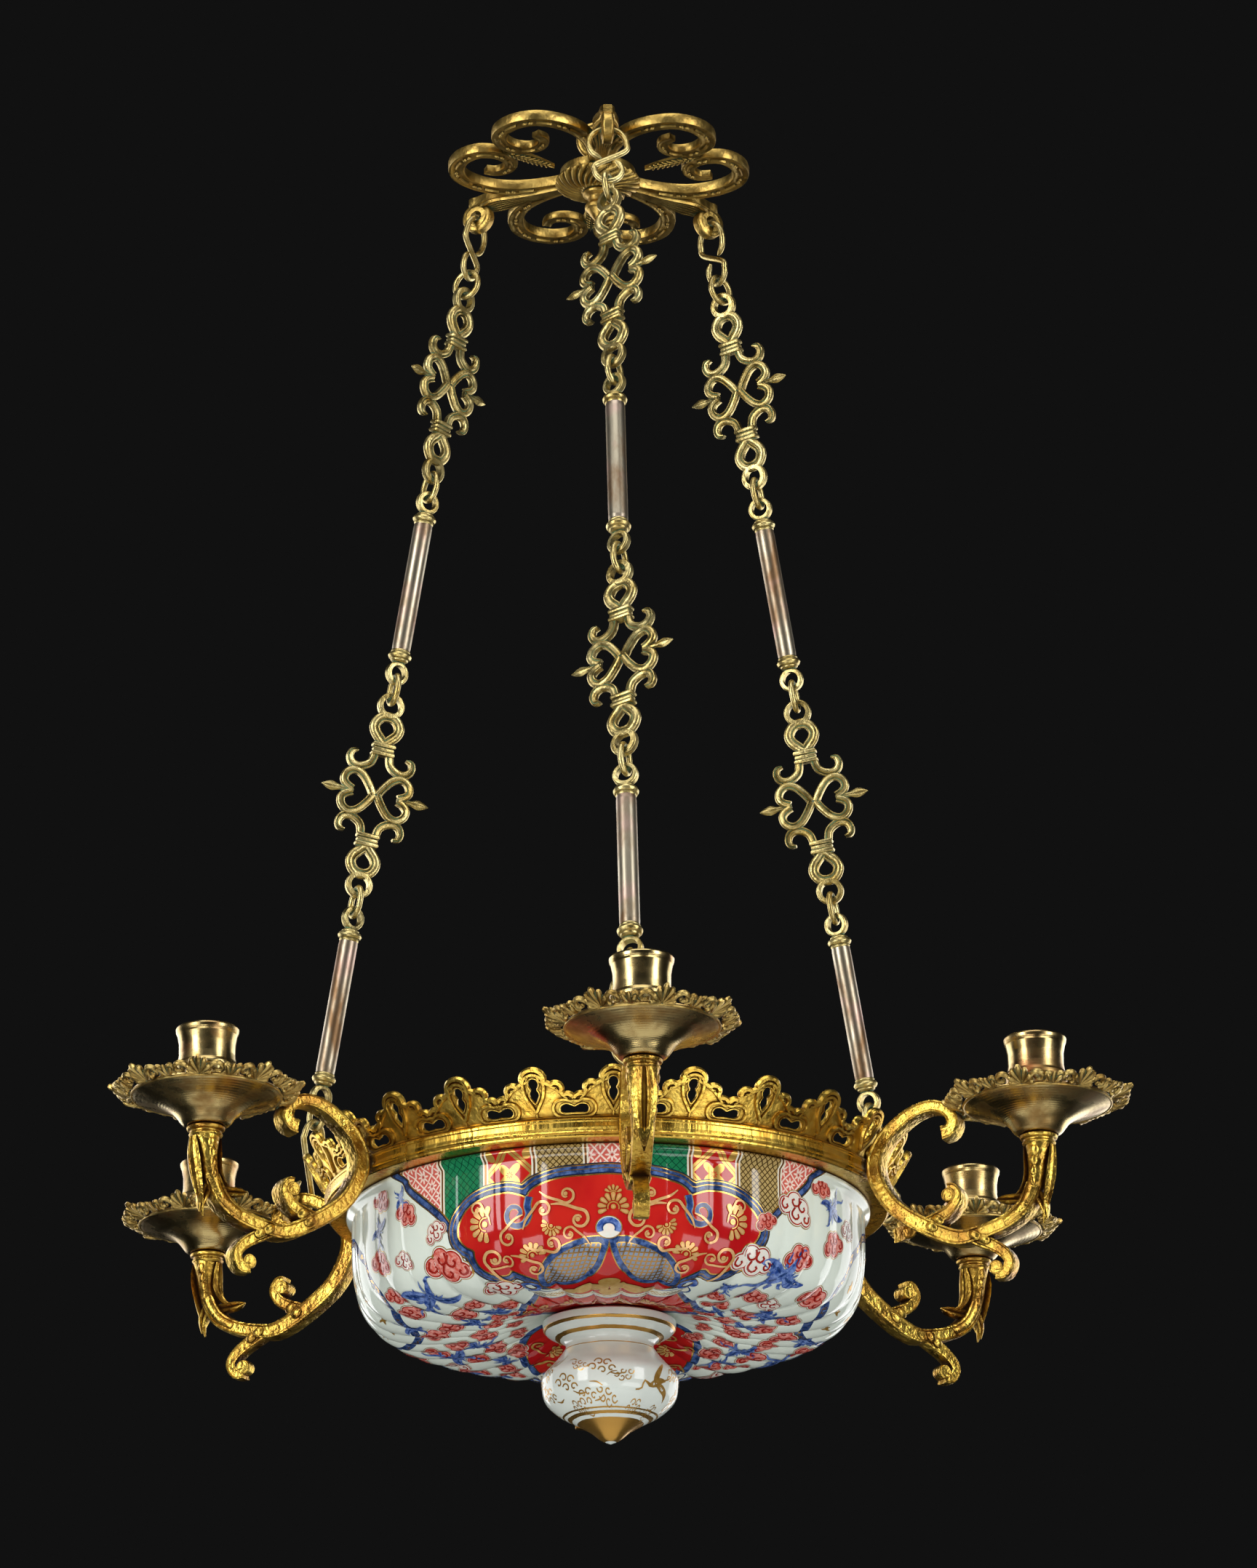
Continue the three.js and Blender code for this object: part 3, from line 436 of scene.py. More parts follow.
@dataclass(frozen=True)
class TurnedBrass:
    """Lathe-turned and lacquered brass.

    The eye sees fine rings left by the tool, soft streaked reflections, and brown and reddish clouds where the
    lacquer has worn.
    """

    name: str
    light: str = "#cdb67c"
    brown: str = "#8f6c3a"
    # The dark brown of the painted shade in the hollows.
    hollow_shade: str = "#5a3a1a"
    blush: str = "#94452a"
    lines: float = 0.7

    def material(self) -> Material:
        """The finish as a material."""
        material, tree, shader, place = start_material(self.name)
        cloud = add(tree, "TexNoise", {"Vector": place, "Scale": 1000 / 16, "Detail": 5, "Roughness": 0.55})
        worn = add(tree, "MapRange", {0: cloud, 1: 0.46, 2: 0.66, 3: 0.0, 4: 0.85})
        skin = add(tree, "Mix", {0: worn, 6: self.light, 7: self.brown}, data_type="RGBA")
        # Worn places turn copper red, in patches about 25 mm across.
        rosy = add(tree, "TexNoise", {"Vector": place, "Scale": 1000 / 25, "Detail": 4, "W": 5.0},
                   noise_dimensions="4D")
        patch = add(tree, "MapRange", {0: rosy, 1: 0.54, 2: 0.68, 3: 0.0, 4: 0.55})
        skin = add(tree, "Mix", {0: patch, 6: skin.outputs[2], 7: self.blush}, data_type="RGBA")
        # Painted shade: within 4 mm of other metal the brass is mixed towards the dark brown hollow colour.
        near = add(tree, "AmbientOcclusion", {"Distance": 0.004}, samples=6)
        hollow_shade = add(tree, "MapRange", {0: near.outputs["AO"], 1: 0.7, 2: 0.25, 3: 0.0, 4: 0.9})
        full = add(tree, "Mix", {0: hollow_shade, 6: skin.outputs[2], 7: self.hollow_shade}, data_type="RGBA")
        gloss = add(tree, "MapRange", {0: cloud, 1: 0.4, 2: 0.7, 3: 0.2, 4: 0.4})
        # Tool rings, one each 0.7 mm of height, coarser than real so that they show.
        axes = add(tree, "SeparateXYZ", {0: place})
        phase = add(tree, "Math", {0: axes.outputs["Z"], 1: 2000 * pi / self.lines}, operation="MULTIPLY")
        rings = add(tree, "Math", {0: phase}, operation="SINE")
        cut = add(tree, "Bump", {"Height": rings, "Distance": 0.00002, "Strength": 0.5})
        plug(tree, shader, {"Base Color": full.outputs[2], "Metallic": 1.0, "Roughness": gloss, "Normal": cut})
        return material


@dataclass(frozen=True)
class DrawnTube:
    """Drawn brass tube, long since toned.

    The eye sees a smooth satin tube of pale brass, clouded with brown along its length and blushed with rose.
    """

    name: str = "drawn_brass_tube_toned"

    def material(self) -> Material:
        """The finish as a material."""
        material, tree, shader, place = start_material(self.name)
        # Clouds of tarnish drawn out along the tube: 12 mm round it and 36 mm along it.
        stretched = add(tree, "Mapping", {"Vector": place, "Scale": (1.0, 1.0, 0.33)})
        cloud = add(tree, "TexNoise", {"Vector": stretched, "Scale": 1000 / 12, "Detail": 4, "Roughness": 0.6})
        tone = add(tree, "MapRange", {0: cloud, 1: 0.4, 2: 0.62})
        skin = add(tree, "Mix", {0: tone, 6: "#b7ad97", 7: "#86694c"}, data_type="RGBA")
        rose = add(tree, "TexNoise", {"Vector": place, "Scale": 1000 / 20, "Detail": 2, "W": 3.0},
                   noise_dimensions="4D")
        patch = add(tree, "MapRange", {0: rose, 1: 0.54, 2: 0.66, 3: 0.0, 4: 0.5})
        blushed = add(tree, "Mix", {0: patch, 6: skin.outputs[2], 7: "#c9a59c"}, data_type="RGBA")
        gloss = add(tree, "MapRange", {0: cloud, 1: 0.35, 2: 0.7, 3: 0.34, 4: 0.5})
        grain = add(tree, "TexNoise", {"Vector": place, "Scale": 1000 / 1.2, "Detail": 2})
        bump = add(tree, "Bump", {"Height": grain, "Distance": 0.00003, "Strength": 0.5})
        plug(tree, shader, {"Base Color": blushed.outputs[2], "Metallic": 1.0, "Roughness": gloss, "Normal": bump})
        return material


@dataclass(frozen=True)
class PlainIron:
    """Forged iron with a dull brown-black skin: rough, with soft small highlights."""

    name: str = "forged_iron"

    def material(self) -> Material:
        """The finish as a material."""
        material, tree, shader, place = start_material(self.name)
        scale = add(tree, "TexNoise", {"Vector": place, "Scale": 1000 / 4, "Detail": 4})
        skin = add(tree, "Mix", {0: scale, 6: "#6a625a", 7: "#3a2e26"}, data_type="RGBA")
        rough = add(tree, "MapRange", {0: scale, 3: 0.4, 4: 0.7})
        bump = add(tree, "Bump", {"Height": scale, "Distance": 0.0002, "Strength": 0.6})
        plug(tree, shader, {"Base Color": skin.outputs[2], "Metallic": 0.9, "Roughness": rough, "Normal": bump})
        return material


class Paint(Enum):
    """The enamels that motifs are painted in, from the lowest layer to the highest."""

    GILT_EDGE = "gilt_edge"
    GROUND = "white_ground"
    IRON_RED = "iron_red_line"
    RED_WASH = "iron_red_wash"
    PALE_WASH = "white_wash"
    BLUE_WASH = "cobalt_wash"
    BLUE = "cobalt_line"
    CURL = "iron_red_curl"
    GOLD = "gold_line"
    PALE = "pale_line"


@dataclass(frozen=True)
class Enamel:
    """Enamel brushed on a glaze: glossy, and cloudy where the brush ran dry. Gold is thin, so it shines softly."""

    name: str
    full: str
    thin: str
    metal: float = 0.0
    gloss: float = 0.14

    def material(self) -> Material:
        """The finish as a material."""
        material, tree, shader, place = start_material(self.name)
        # Brush clouds 3 mm across.
        cloud = add(tree, "TexNoise", {"Vector": place, "Scale": 1000 / 3, "Detail": 3, "Roughness": 0.6})
        amount = add(tree, "MapRange", {0: cloud, 1: 0.38, 2: 0.66})
        body = add(tree, "Mix", {0: amount, 6: self.full, 7: self.thin}, data_type="RGBA")
        plug(tree, shader, {"Base Color": body.outputs[2], "Metallic": self.metal, "Roughness": self.gloss})
        return material


@dataclass
class Layers:
    """Colour and metal laid one over another on a surface."""

    tree: Tree
    colour: Socket | str
    metal: Socket | float = 0.0

    def over(self, mask: Node, colour: object, metal: object = 0.0) -> None:
        """Lays a colour over what is there.

        Args:
            mask: 1 where the colour goes.
            colour: an sRGB hex or a socket.
            metal: how much of it is metal, as a number or a socket.
        """
        self.colour = add(self.tree, "Mix", {0: mask, 6: self.colour, 7: colour}, data_type="RGBA").outputs[2]
        self.metal = add(self.tree, "Mix", {0: mask, 2: self.metal, 3: metal}).outputs[0]

    def bands(self, field_: object, *bands: tuple) -> None:
        """Lays one colour after another where a field lies between two values: low, high, colour and any metal."""
        for low, high, *coat in bands:
            self.over(self.where(field_, low, high), *coat)

    def where(self, field_: object, low: float, high: float) -> Node:
        """A mask of where a field lies between two values."""
        return add(self.tree, "Math", {0: field_, 1: (low + high) / 2, 2: (high - low) / 2}, operation="COMPARE")

    def crossing(self, first: object, second: object, pitch: float, half: float) -> Node:
        """A mask of two families of lines, pitch apart and two half widths wide."""
        waves = [add(self.tree, "Math", {0: way, 1: pitch / 2}, operation="PINGPONG") for way in (first, second)]
        near = add(self.tree, "Math", {0: waves[0], 1: waves[1]}, operation="MINIMUM")
        return self.where(near, -half, half)

    def flowers(self, first: object, second: object, pitch: float, petals: int, size: float) -> Node:
        """A mask of one flower in each cell of a lattice."""
        ways = []
        for way in (first, second):
            cell = add(self.tree, "Math", {0: way, 1: pitch}, operation="FLOORED_MODULO")
            ways.append(add(self.tree, "Math", {0: cell, 1: pitch / 2}, operation="SUBTRACT"))
        joined = add(self.tree, "CombineXYZ", {0: ways[0], 1: ways[1]})
        reach = add(self.tree, "VectorMath", {0: joined}, operation="LENGTH").outputs["Value"]
        turn = add(self.tree, "Math", {0: ways[0], 1: ways[1]}, operation="ARCTAN2")
        wave = add(self.tree, "Math", {0: turn, 1: float(petals)}, operation="MULTIPLY")
        lobes = add(self.tree, "Math", {0: wave}, operation="COSINE")
        edge = add(self.tree, "Math", {0: lobes, 1: size * 0.3, 2: size * 0.7}, operation="MULTIPLY_ADD")
        return add(self.tree, "Math", {0: reach, 1: edge}, operation="LESS_THAN")


# Farther inside a painted outline, in millimetres, than any point of the bowl is.
WITHIN = -90


@dataclass(frozen=True)
class PaintedPorcelain:
    """Porcelain painted in underglaze cobalt, iron red, green and gold, under and over a clear glaze.

    The eye sees a smooth greenish white with mirror-like highlights, inky blue clouds in the blue, flat opaque red
    and green, and thin soft gold. The patterns stand on the attributes that the bowl's own mesh carries.
    """

    name: str = "painted_glazed_porcelain"
    ground: str = "#e8f0e3"
    red: str = "#b3161a"
    gold: str = "#cfa552"
    ink: str = "#16243f"
    strip: float = 11.25
    first_strip: float = -8.8
    strip_width: float = 27.2

    def material(self) -> Material:
        """The finish as a material."""
        material, tree, shader, place = start_material(self.name)
        pool = add(tree, "TexNoise", {"Vector": place, "Scale": 1000 / 30, "Detail": 3})
        glaze = add(tree, "Mix", {0: pool, 6: self.ground, 7: "#d9e3d8"}, data_type="RGBA")
        # The cobalt pools and thins in clouds 4 mm across.
        ink = add(tree, "TexNoise", {"Vector": place, "Scale": 1000 / 4, "Detail": 4, "Roughness": 0.65})
        depth = add(tree, "MapRange", {0: ink, 1: 0.42, 2: 0.7})
        blue = add(tree, "Mix", {0: depth, 6: "#1c3360", 7: "#5f7dba"}, data_type="RGBA").outputs[2]
        flat = add(tree, "MapRange", {0: pool, 1: 0.4, 2: 0.65})
        red = add(tree, "Mix", {0: flat, 6: self.red, 7: "#c4281f"}, data_type="RGBA").outputs[2]
        layers = Layers(tree, glaze.outputs[2])
        marks = {name: add(tree, "Attribute", attribute_name=name).outputs["Fac"]
                 for name in ("down", "side", "brocade", "cartouche", "foot_panel", "hem", "diamond", "leaf")}
        self.side_panels(layers, marks, blue, ink)
        self.brocades(layers, marks, place, red, ink)
        layers.bands(marks["brocade"], (0, 4.6, blue), (-0.3, 0.5, self.gold, 0.9), (4.2, 4.8, "#9d8240", 0.8),
                     (0.5, 1.2, self.ink), (3.6, 4.2, "#1c2c50"))
        layers.bands(marks["cartouche"], (-0.2, 5.6, blue), (WITHIN, 0, red), (-0.5, 0.3, self.gold, 0.9),
                     (2.9, 3.4, "#b08c4a", 0.8), (5.0, 5.6, self.gold, 0.9), (0.3, 1.0, self.ink),
                     (5.6, 6.2, self.ink))
        self.foot(layers, marks, place, blue, red)
        gloss = add(tree, "MapRange", {0: layers.metal, 3: 0.09, 4: 0.26})
        plug(tree, shader, {"Base Color": layers.colour, "Metallic": layers.metal, "Roughness": gloss, "IOR": 1.5})
        return material

    def side_panels(self, layers: Layers, marks: dict, blue: object, ink: object) -> None:
        """The blue bands flecked with gold that frame the bowl's two sides."""
        layers.bands(marks["side"], (-2.6, 2.2, blue))
        band, dark = layers.where(marks["side"], -1.8, 1.2), layers.where(ink, 0.53, 0.6)
        fleck = add(layers.tree, "Math", {0: band, 1: dark}, operation="MULTIPLY")
        layers.over(fleck, self.gold, 0.9)

    def brocades(self, layers: Layers, marks: dict, place: object, red: object, ink: object) -> None:
        """The strips of four brocades that hang from the rim, in turn: pink, green, red with gold, and tan."""
        tree = layers.tree
        axes = add(tree, "SeparateXYZ", {0: place})
        toward = add(tree, "Math", {0: axes.outputs["Y"], 1: -1.0}, operation="MULTIPLY")
        turn = add(tree, "Math", {0: axes.outputs["X"], 1: toward}, operation="ARCTAN2")
        strip = add(tree, "Math", {0: turn, 1: 1 / radians(self.strip), 2: -self.first_strip / self.strip},
                    operation="MULTIPLY_ADD")
        number = add(tree, "Math", {0: strip}, operation="FLOOR")
        kind = add(tree, "Math", {0: number, 1: 4.0}, operation="FLOORED_MODULO")
        share = add(tree, "Math", {0: strip}, operation="FRACT")
        half = self.strip_width / 2
        across = add(tree, "Math", {0: share, 1: self.strip_width, 2: -half}, operation="MULTIPLY_ADD")
        up = add(tree, "Math", {0: across, 1: marks["down"]}, operation="ADD")
        fall = add(tree, "Math", {0: across, 1: marks["down"]}, operation="SUBTRACT")
        cloth = Layers(tree, "#b59d66")
        # Tan: a fine brown diagonal net, 3.4 mm apart.
        cloth.over(cloth.crossing(up, fall, 3.4, 0.4), "#4e3b1c")
        kinds = [cloth.where(kind, n - 0.4, n + 0.4) for n in range(3)]
        pink = Layers(tree, "#d2665b")
        pink.over(pink.flowers(up, fall, 12.0, 8, 5.2), "#f3dccf")
        pink.over(pink.flowers(up, fall, 12.0, 8, 1.8), "#b3322a")
        pink.over(pink.crossing(up, fall, 12.0, 0.6), "#f3ded2")
        cloth.over(kinds[0], pink.colour)
        green = Layers(tree, "#1f7a50")
        green.over(green.where(ink, 0.62, 0.9), "#2c8a5e")
        green.over(green.crossing(up, fall, 4.2, 0.3), "#0f4a33")
        cloth.over(kinds[1], green.colour)
        gilded = Layers(tree, red)
        gilded.over(gilded.flowers(up, fall, 27.2, 4, 11.0), self.gold, 0.5)
        gilded.over(gilded.flowers(up, fall, 27.2, 8, 3.0), red)
        gilded.over(gilded.flowers(up, fall, 27.2, 8, 1.5), self.gold, 0.5)
        gilded.over(gilded.crossing(up, fall, 27.2, 2.3), self.gold, 0.5)
        gilded.over(gilded.crossing(up, fall, 27.2, 0.3), "#a63a24")
        cloth.over(kinds[2], gilded.colour, gilded.metal)
        edge = add(tree, "Math", {0: across}, operation="ABSOLUTE")
        cloth.bands(edge, (half - 1.5, 90, "#e9e4d2"), (half - 0.55, 90, "#8a5a2c", 0.5))
        layers.bands(marks["brocade"], (WITHIN, 0, cloth.colour, cloth.metal))

    def foot(self, layers: Layers, marks: dict, place: object, blue: object, red: object) -> None:
        """The red panels round the foot, the hem above them, the diamond and its two leaves."""
        tree = layers.tree
        layers.bands(marks["foot_panel"], (WITHIN, 4.4, blue), (WITHIN, 0, red), (-0.5, 0.2, self.gold, 0.9))
        axes = add(tree, "SeparateXYZ", {0: place})
        wide = add(tree, "Math", {0: axes.outputs["X"], 1: 1000.0}, operation="MULTIPLY")
        up = add(tree, "Math", {0: wide, 1: marks["down"]}, operation="ADD")
        fall = add(tree, "Math", {0: wide, 1: marks["down"]}, operation="SUBTRACT")
        layers.bands(marks["hem"], (WITHIN, 0.9, blue), (WITHIN, 0, "#dcdccb"))
        net, inner = layers.crossing(up, fall, 3.0, 0.4), layers.where(marks["hem"], WITHIN, -2.4)
        layers.over(add(tree, "Math", {0: net, 1: inner}, operation="MULTIPLY"), self.gold, 0.8)
        layers.bands(marks["diamond"], (WITHIN, 1.0, self.gold, 0.9), (WITHIN, 0.2, red))
        layers.bands(marks["leaf"], (WITHIN, 0.8, self.gold, 0.9), (WITHIN, 0.2, blue), (WITHIN, -3.0, "#7f8ea6"))
        steep = add(tree, "Math", {0: marks["down"], 1: 0.25, 2: wide}, operation="MULTIPLY_ADD")
        net = layers.crossing(steep, marks["down"], 2.6, 0.42)
        inner = layers.where(marks["leaf"], WITHIN, -3.3)
        layers.over(add(tree, "Math", {0: net, 1: inner}, operation="MULTIPLY"), "#b4894a", 0.7)
        layers.bands(marks["leaf"], (-3.3, -2.9, self.gold, 0.9))


@dataclass(frozen=True)
class BandedPorcelain:
    """The finial's porcelain: the same white glaze with fired gold bands and a gold point that is worn to white."""

    name: str = "gold_banded_porcelain"
    bands: tuple[tuple[float, float], ...] = ((-722.8, -721.3), (-727.0, -725.6), (-733.6, -733.0), (-769.4, -768.8),
                                              (-771.4, -770.2), (-782.6, -772.8))

    def material(self) -> Material:
        """The finish as a material."""
        material, tree, shader, place = start_material(self.name)
        pool = add(tree, "TexNoise", {"Vector": place, "Scale": 1000 / 25, "Detail": 3})
        glaze = add(tree, "Mix", {0: pool, 6: "#e3e9e1", 7: "#d8e0d8"}, data_type="RGBA")
        layers = Layers(tree, glaze.outputs[2])
        axes = add(tree, "SeparateXYZ", {0: place})
        wobble = add(tree, "TexNoise", {"Vector": place, "Scale": 1000 / 9})
        height = add(tree, "Math", {0: axes.outputs["Z"], 1: 1000.0, 2: -0.3}, operation="MULTIPLY_ADD")
        shaken = add(tree, "Math", {0: wobble, 1: 0.6, 2: height}, operation="MULTIPLY_ADD")
        layers.bands(shaken, *((low, high, "#c99a4b", 0.85) for low, high in self.bands))
        gloss = add(tree, "MapRange", {0: layers.metal, 3: 0.09, 4: 0.3})
        plug(tree, shader, {"Base Color": layers.colour, "Metallic": layers.metal, "Roughness": gloss})
        return material


class Finishes:
    """Every finish of the chandelier, made once."""

    def __init__(self) -> None:
        """Makes the materials."""
        self.gilt = CastMetal("gilt_bronze_chased").material()
        self.burnished = CastMetal("gilt_bronze_burnished", "#f2cf60", "#d6a23c", shine=0.2, streak=0.15).material()
        self.worn = CastMetal("gilt_bronze_worn", "#e9c65a", "#a97d36", "#5f3c17", "#33200f", 0.25, 0.0045, 0.13,
                              hammer=0.0011).material()
        self.border = CastMetal("pan_border_cast", "#d9be74", "#a78545", "#5e451c", "#a5c6a2", 0.3, 0.0025, 0.16,
                                deep=0.5).material()
        self.plate = CastMetal("gilt_brass_toned", "#cdae60", "#a08040", "#4a3814", "#5d7a56", 0.3, 0.0035, 0.16,
                               deep=0.5).material()
        self.chain = CastMetal("chain_brass_cast", "#dccb8e", "#b39a58", "#5e4c24", "#9fbf98", 0.3, 0.003, 0.16,
                               deep=0.62).material()
        self.rod = DrawnTube().material()
        self.turned = TurnedBrass("cup_brass_turned").material()
        self.iron = PlainIron().material()
        self.porcelain = PaintedPorcelain().material()
        self.banded = BandedPorcelain().material()
        # Each enamel where it is thick and where it is thin, and for gold how metallic and how rough it is.
        self.paints = {paint: Enamel(f"{paint.value}_enamel", *coat).material() for paint, coat in {
            Paint.GILT_EDGE: ("#b58639", "#c99f52", 0.55, 0.28), Paint.GROUND: ("#e0e6dc", "#e7e6da"),
            Paint.IRON_RED: ("#9c241c", "#b5382a"), Paint.RED_WASH: ("#d0584a", "#eaa89c"),
            Paint.PALE_WASH: ("#e2e5da", "#ecdcd0"), Paint.BLUE_WASH: ("#26468f", "#7d97cf"),
            Paint.BLUE: ("#1b2f5e", "#35548f"), Paint.CURL: ("#8e1c18", "#a82c22"),
            Paint.GOLD: ("#cf9f4c", "#ddb76c", 0.5, 0.28), Paint.PALE: ("#e3b47c", "#d6a05c", 0.25, 0.22)}.items()}


@dataclass
class Shop:
    """What every sub-assembly works with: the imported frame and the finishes."""

    frame: dict
    finishes: Finishes
    made: list[str] = field(default_factory=list)

    def piece(self, name: str, mesh: Shape, body: str, materials: Sequence[Material],
              replaces: Sequence[str] = (), matrix: Matrix | None = None, sharp: float = 38) -> bpy.types.Object:
        """Makes a mesh in millimetres a piece of the chandelier.

        Args:
            name: the piece's name.
            mesh: its shape, which is copied.
            body: the CAD body that it rides on.
            materials: its finishes.
            replaces: the CAD nodes that it stands for.
            matrix: where the mesh goes, in millimetres.
            sharp: the angle in degrees above which an edge stays sharp.

        Returns:
            The piece.
        """
        data = mesh.copy()
        data.name = name
        data.transform(Matrix.Scale(MM, 4) @ (matrix or Matrix()))
        data.polygons.foreach_set("use_smooth", [True] * len(data.polygons))
        data.set_sharp_from_angle(angle=radians(sharp))
        for material in materials:
            data.materials.append(material)
        made = bpy.data.objects.new(name, data)
        bpy.context.scene.collection.objects.link(made)
        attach(made, body)
        if replaces:
            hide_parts(*replaces)
        LOG.info("%s: %d faces on %s", name, len(data.polygons), body)
        self.made.append(name)
        return made


# ---------------------------------------------------------------- ceiling mount


@dataclass
class CeilingMount:
    """The suspension eye, the scrolled plate with its three lugs, the rosette and the knob."""

    top: float = -27.3
    under: float = -33.3
    reach: float = 80.0
    lug_radius: float = 78.4
    lug_height: float = -39.8

    def eye(self) -> Shape:
        """The forged loop, its neck, collar and shank."""
        bm = bmesh.new()
        ring = np.array([[10 * cos(a), 0, -7.5 + 10 * sin(a), 2.5, 2.5]
                         for a in np.linspace(0, tau, 48, endpoint=False)])
        sweep(bm, ring, WIRE, Y, closed=True)
        turn_profile(bm, fillet([(0, -17.5, 0), (3, -17.5, 0), (3, -23.6, 0.6), (6.4, -24.2, 0.6), (8, -25, 0.6),
                                 (8, -27, 0.4), (3, -27, 0), (3, -50, 0), (0, -50, 0)]), 48)
        return shape(bm)

    def scroll(self, bm: Mesh, hand: Hand) -> None:
        """One of the plate's scrolls beside an arm that lies along +x, with its chased line of dashes and dots."""
        grow = self.reach / 76
        points = [(14, 3, 3), (30, 4.6, 3.4), (43, 7.5, 3.8), (54, 13, 4.4), (61.5, 21, 4.7), (66, 31, 4.7),
                  (66.5, 40, 4.7), (62.5, 49, 4.7), (54.5, 55.5, 4.6), (45, 57, 4.5), (37.5, 53, 4.5),
                  (33.6, 46.5, 4.4), (34, 39, 4.0), (39, 33.6, 3.6), (46, 33, 3.2), (50.6, 37.4, 2.7)]
        rows = flow([(x * grow, y * grow * hand.value, w) for x, y, w in points], 90)
        high = np.interp(np.arange(len(rows)), [0, 62, len(rows) - 1], [3, 3, 1.9])
        path = np.array([[x, y, self.under + h, w, h] for (x, y, w), h in zip(rows, high)])
        sweep(bm, path, CHANNEL, Z)
        face = self.under + 0.25
        for i in range(14, len(rows) - 8, 12):
            line = np.array([[x, y, face, 0.85, 1.35] for x, y, _ in rows[i : i + 6]])
            sweep(bm, line, WIRE[::2], Z)
            for j in (i + 7, i + 9):
                if j < len(rows) - 2:
                    x, y, _ = rows[j]
                    along = atan2(rows[j + 1][1] - rows[j - 1][1], rows[j + 1][0] - rows[j - 1][0])
                    bead(bm, Vector((x, y, face)), (1.6, 0.95, 1.45), Matrix.Rotation(along, 4, "Z"), 8)

    def plate(self) -> Shape:
        """The whole plate: hub, six scrolls, three lug arms and three leaves."""
        arm = bmesh.new()
        for hand in Hand:
            self.scroll(arm, hand)
        middle = (self.top + self.under) / 2
        end = self.lug_radius + 5
        rows = flow([(10, 0, 4.6), (28, 0, 4.2), (44, 0, 4.6), (58, 0, 6.6), (66, 0, 7.4), (72, 0, 6.2), (77, 0, 4.4),
                     (end - 1.5, 0, 4.0), (end, 0, 2.6)], 36)
        sweep(arm, np.array([[x, y, middle, w, 3] for x, y, w in rows]), STRAP, Z)
        for side in (-1, -0.6, -0.2, 0.2, 0.6, 1):
            line = flow([(20, side * 2.2), (42, side * 3.0), (56, side * 5.0), (66, side * 6.2), (72, side * 4.6),
                         (76, side * 2.6)], 28)
            sweep(arm, np.array([[x, y, self.under, 1.0, 1.6] for x, y in line]), WIRE[::2], Z)
        eyelet(arm, [(3.5, 3.5, 0), (6.2, 3.5, 0.3), (7, 3.1, 0.3), (9.3, 2.8, 1.2)],
               Vector((self.lug_radius, 0, self.lug_height)))
        bead(arm, Vector((self.lug_radius - 0.6, 0, self.under - 0.4)), (6.4, 3.5, 3.2), None, 20)
        leaf = flow([(30.5, 0, 0.5), (35, 0, 2.6), (42, 0, 4.6), (50, 0, 5.2), (58, 0, 3.6), (65.4, 0, 1.0)], 32)
        turn = Matrix.Rotation(pi / 3, 3, "Z")
        leaf_rows = np.array([[*(turn @ Vector((x, y, self.under + 1.6))), w, 2.0] for x, y, w in leaf])
        sweep(arm, leaf_rows, LEAF, -Z)
        for k in range(9):
            for side in (1, -1):
                at = turn @ Vector((60 - 3.1 * k, side * (1.1 + 1.1 * sin(pi * (k + 1) / 10)), self.under + 0.2))
                vein = Matrix.Rotation(pi / 3 + side * 2.45, 4, "Z")
                bead(arm, at, (2.5 - abs(k - 4) * 0.25, 0.62, 0.8), vein, 8)
        sector = shape(arm)
        bm = bmesh.new()
        for i in range(3):
            add_mesh(bm, sector, Matrix.Rotation(i * tau / 3 - pi / 2, 4, "Z"))
        turn_profile(bm, fillet([(3.3, self.top, 0), (22, self.top, 0.6), (22, self.under, 0.6),
                                 (3.3, self.under, 0), (3.3, self.top, 0)]), 96)
        return shape(bm)

    def rosette(self) -> Shape:
        """The gadrooned rosette, whose flutes swirl round the shank."""
        bm = bmesh.new()
        top = self.under - 0.3
        profile = [(3.3, top), (24.2, top)] + [
            (r, z) for r, z in flow([(24.2, top), (25, top - 1.2), (23.6, top - 2.9), (19.5, top - 4.6),
                                     (14, top - 5.8), (9.5, top - 6.6), (9, top - 7)], 20)][1:] + [(3.3, top - 7)]
        turn_profile(bm, profile + [profile[0]], 288)
        bmesh.ops.remove_doubles(bm, verts=bm.verts, dist=WELD)
        inner, outer, swirl, deep, pinch = 9.3, 25, 0.045, 2.1, 1.2
        for vert in bm.verts:
            r = hypot(vert.co.x, vert.co.y)
            if r > inner and vert.co.z < top - 0.3:
                turn = atan2(vert.co.y, vert.co.x) + (outer - r) * swirl
                wave = abs(sin(12 * turn)) ** 0.8
                fade = min(1, (r - inner) / 3)
                vert.co.z += (1 - wave) * deep * fade
                vert.co.x -= vert.co.x / r * (1 - wave) * pinch * fade
                vert.co.y -= vert.co.y / r * (1 - wave) * pinch * fade
        return shape(bm)

    def knob(self) -> Shape:
        """The stepped knob under the rosette."""
        bm = bmesh.new()
        t = self.under - 7.6
        turn_profile(bm, fillet([(0, t, 0), (8.4, t, 0.4), (9, t - 1, 0.6), (8.6, t - 2.2, 0.5), (6, t - 3.6, 0.8),
                                 (5.4, t - 6.6, 1), (6.2, t - 8, 0.4), (7.8, t - 9, 0.9), (7.6, t - 11.2, 0.9),
                                 (6.4, t - 12, 0.3), (4.4, t - 15, 1.4), (2.6, t - 17.6, 0.8), (0, t - 20, 0)]), 64)
        return shape(bm)

    def build(self, shop: Shop) -> None:
        """Makes the four pieces."""
        gilt = [shop.finishes.plate]
        shop.piece("forged_eye", self.eye(), "ceiling_frame", gilt, ["suspension_eye"])
        shop.piece("scroll_plate", self.plate(), "ceiling_frame", gilt, ["ceiling_plate"])
        shop.piece("gadroon_rosette", self.rosette(), "ceiling_frame", gilt, ["rosette"])
        shop.piece("stepped_knob", self.knob(), "ceiling_frame", gilt, ["plate_knob"])


# ---------------------------------------------------------------- chains


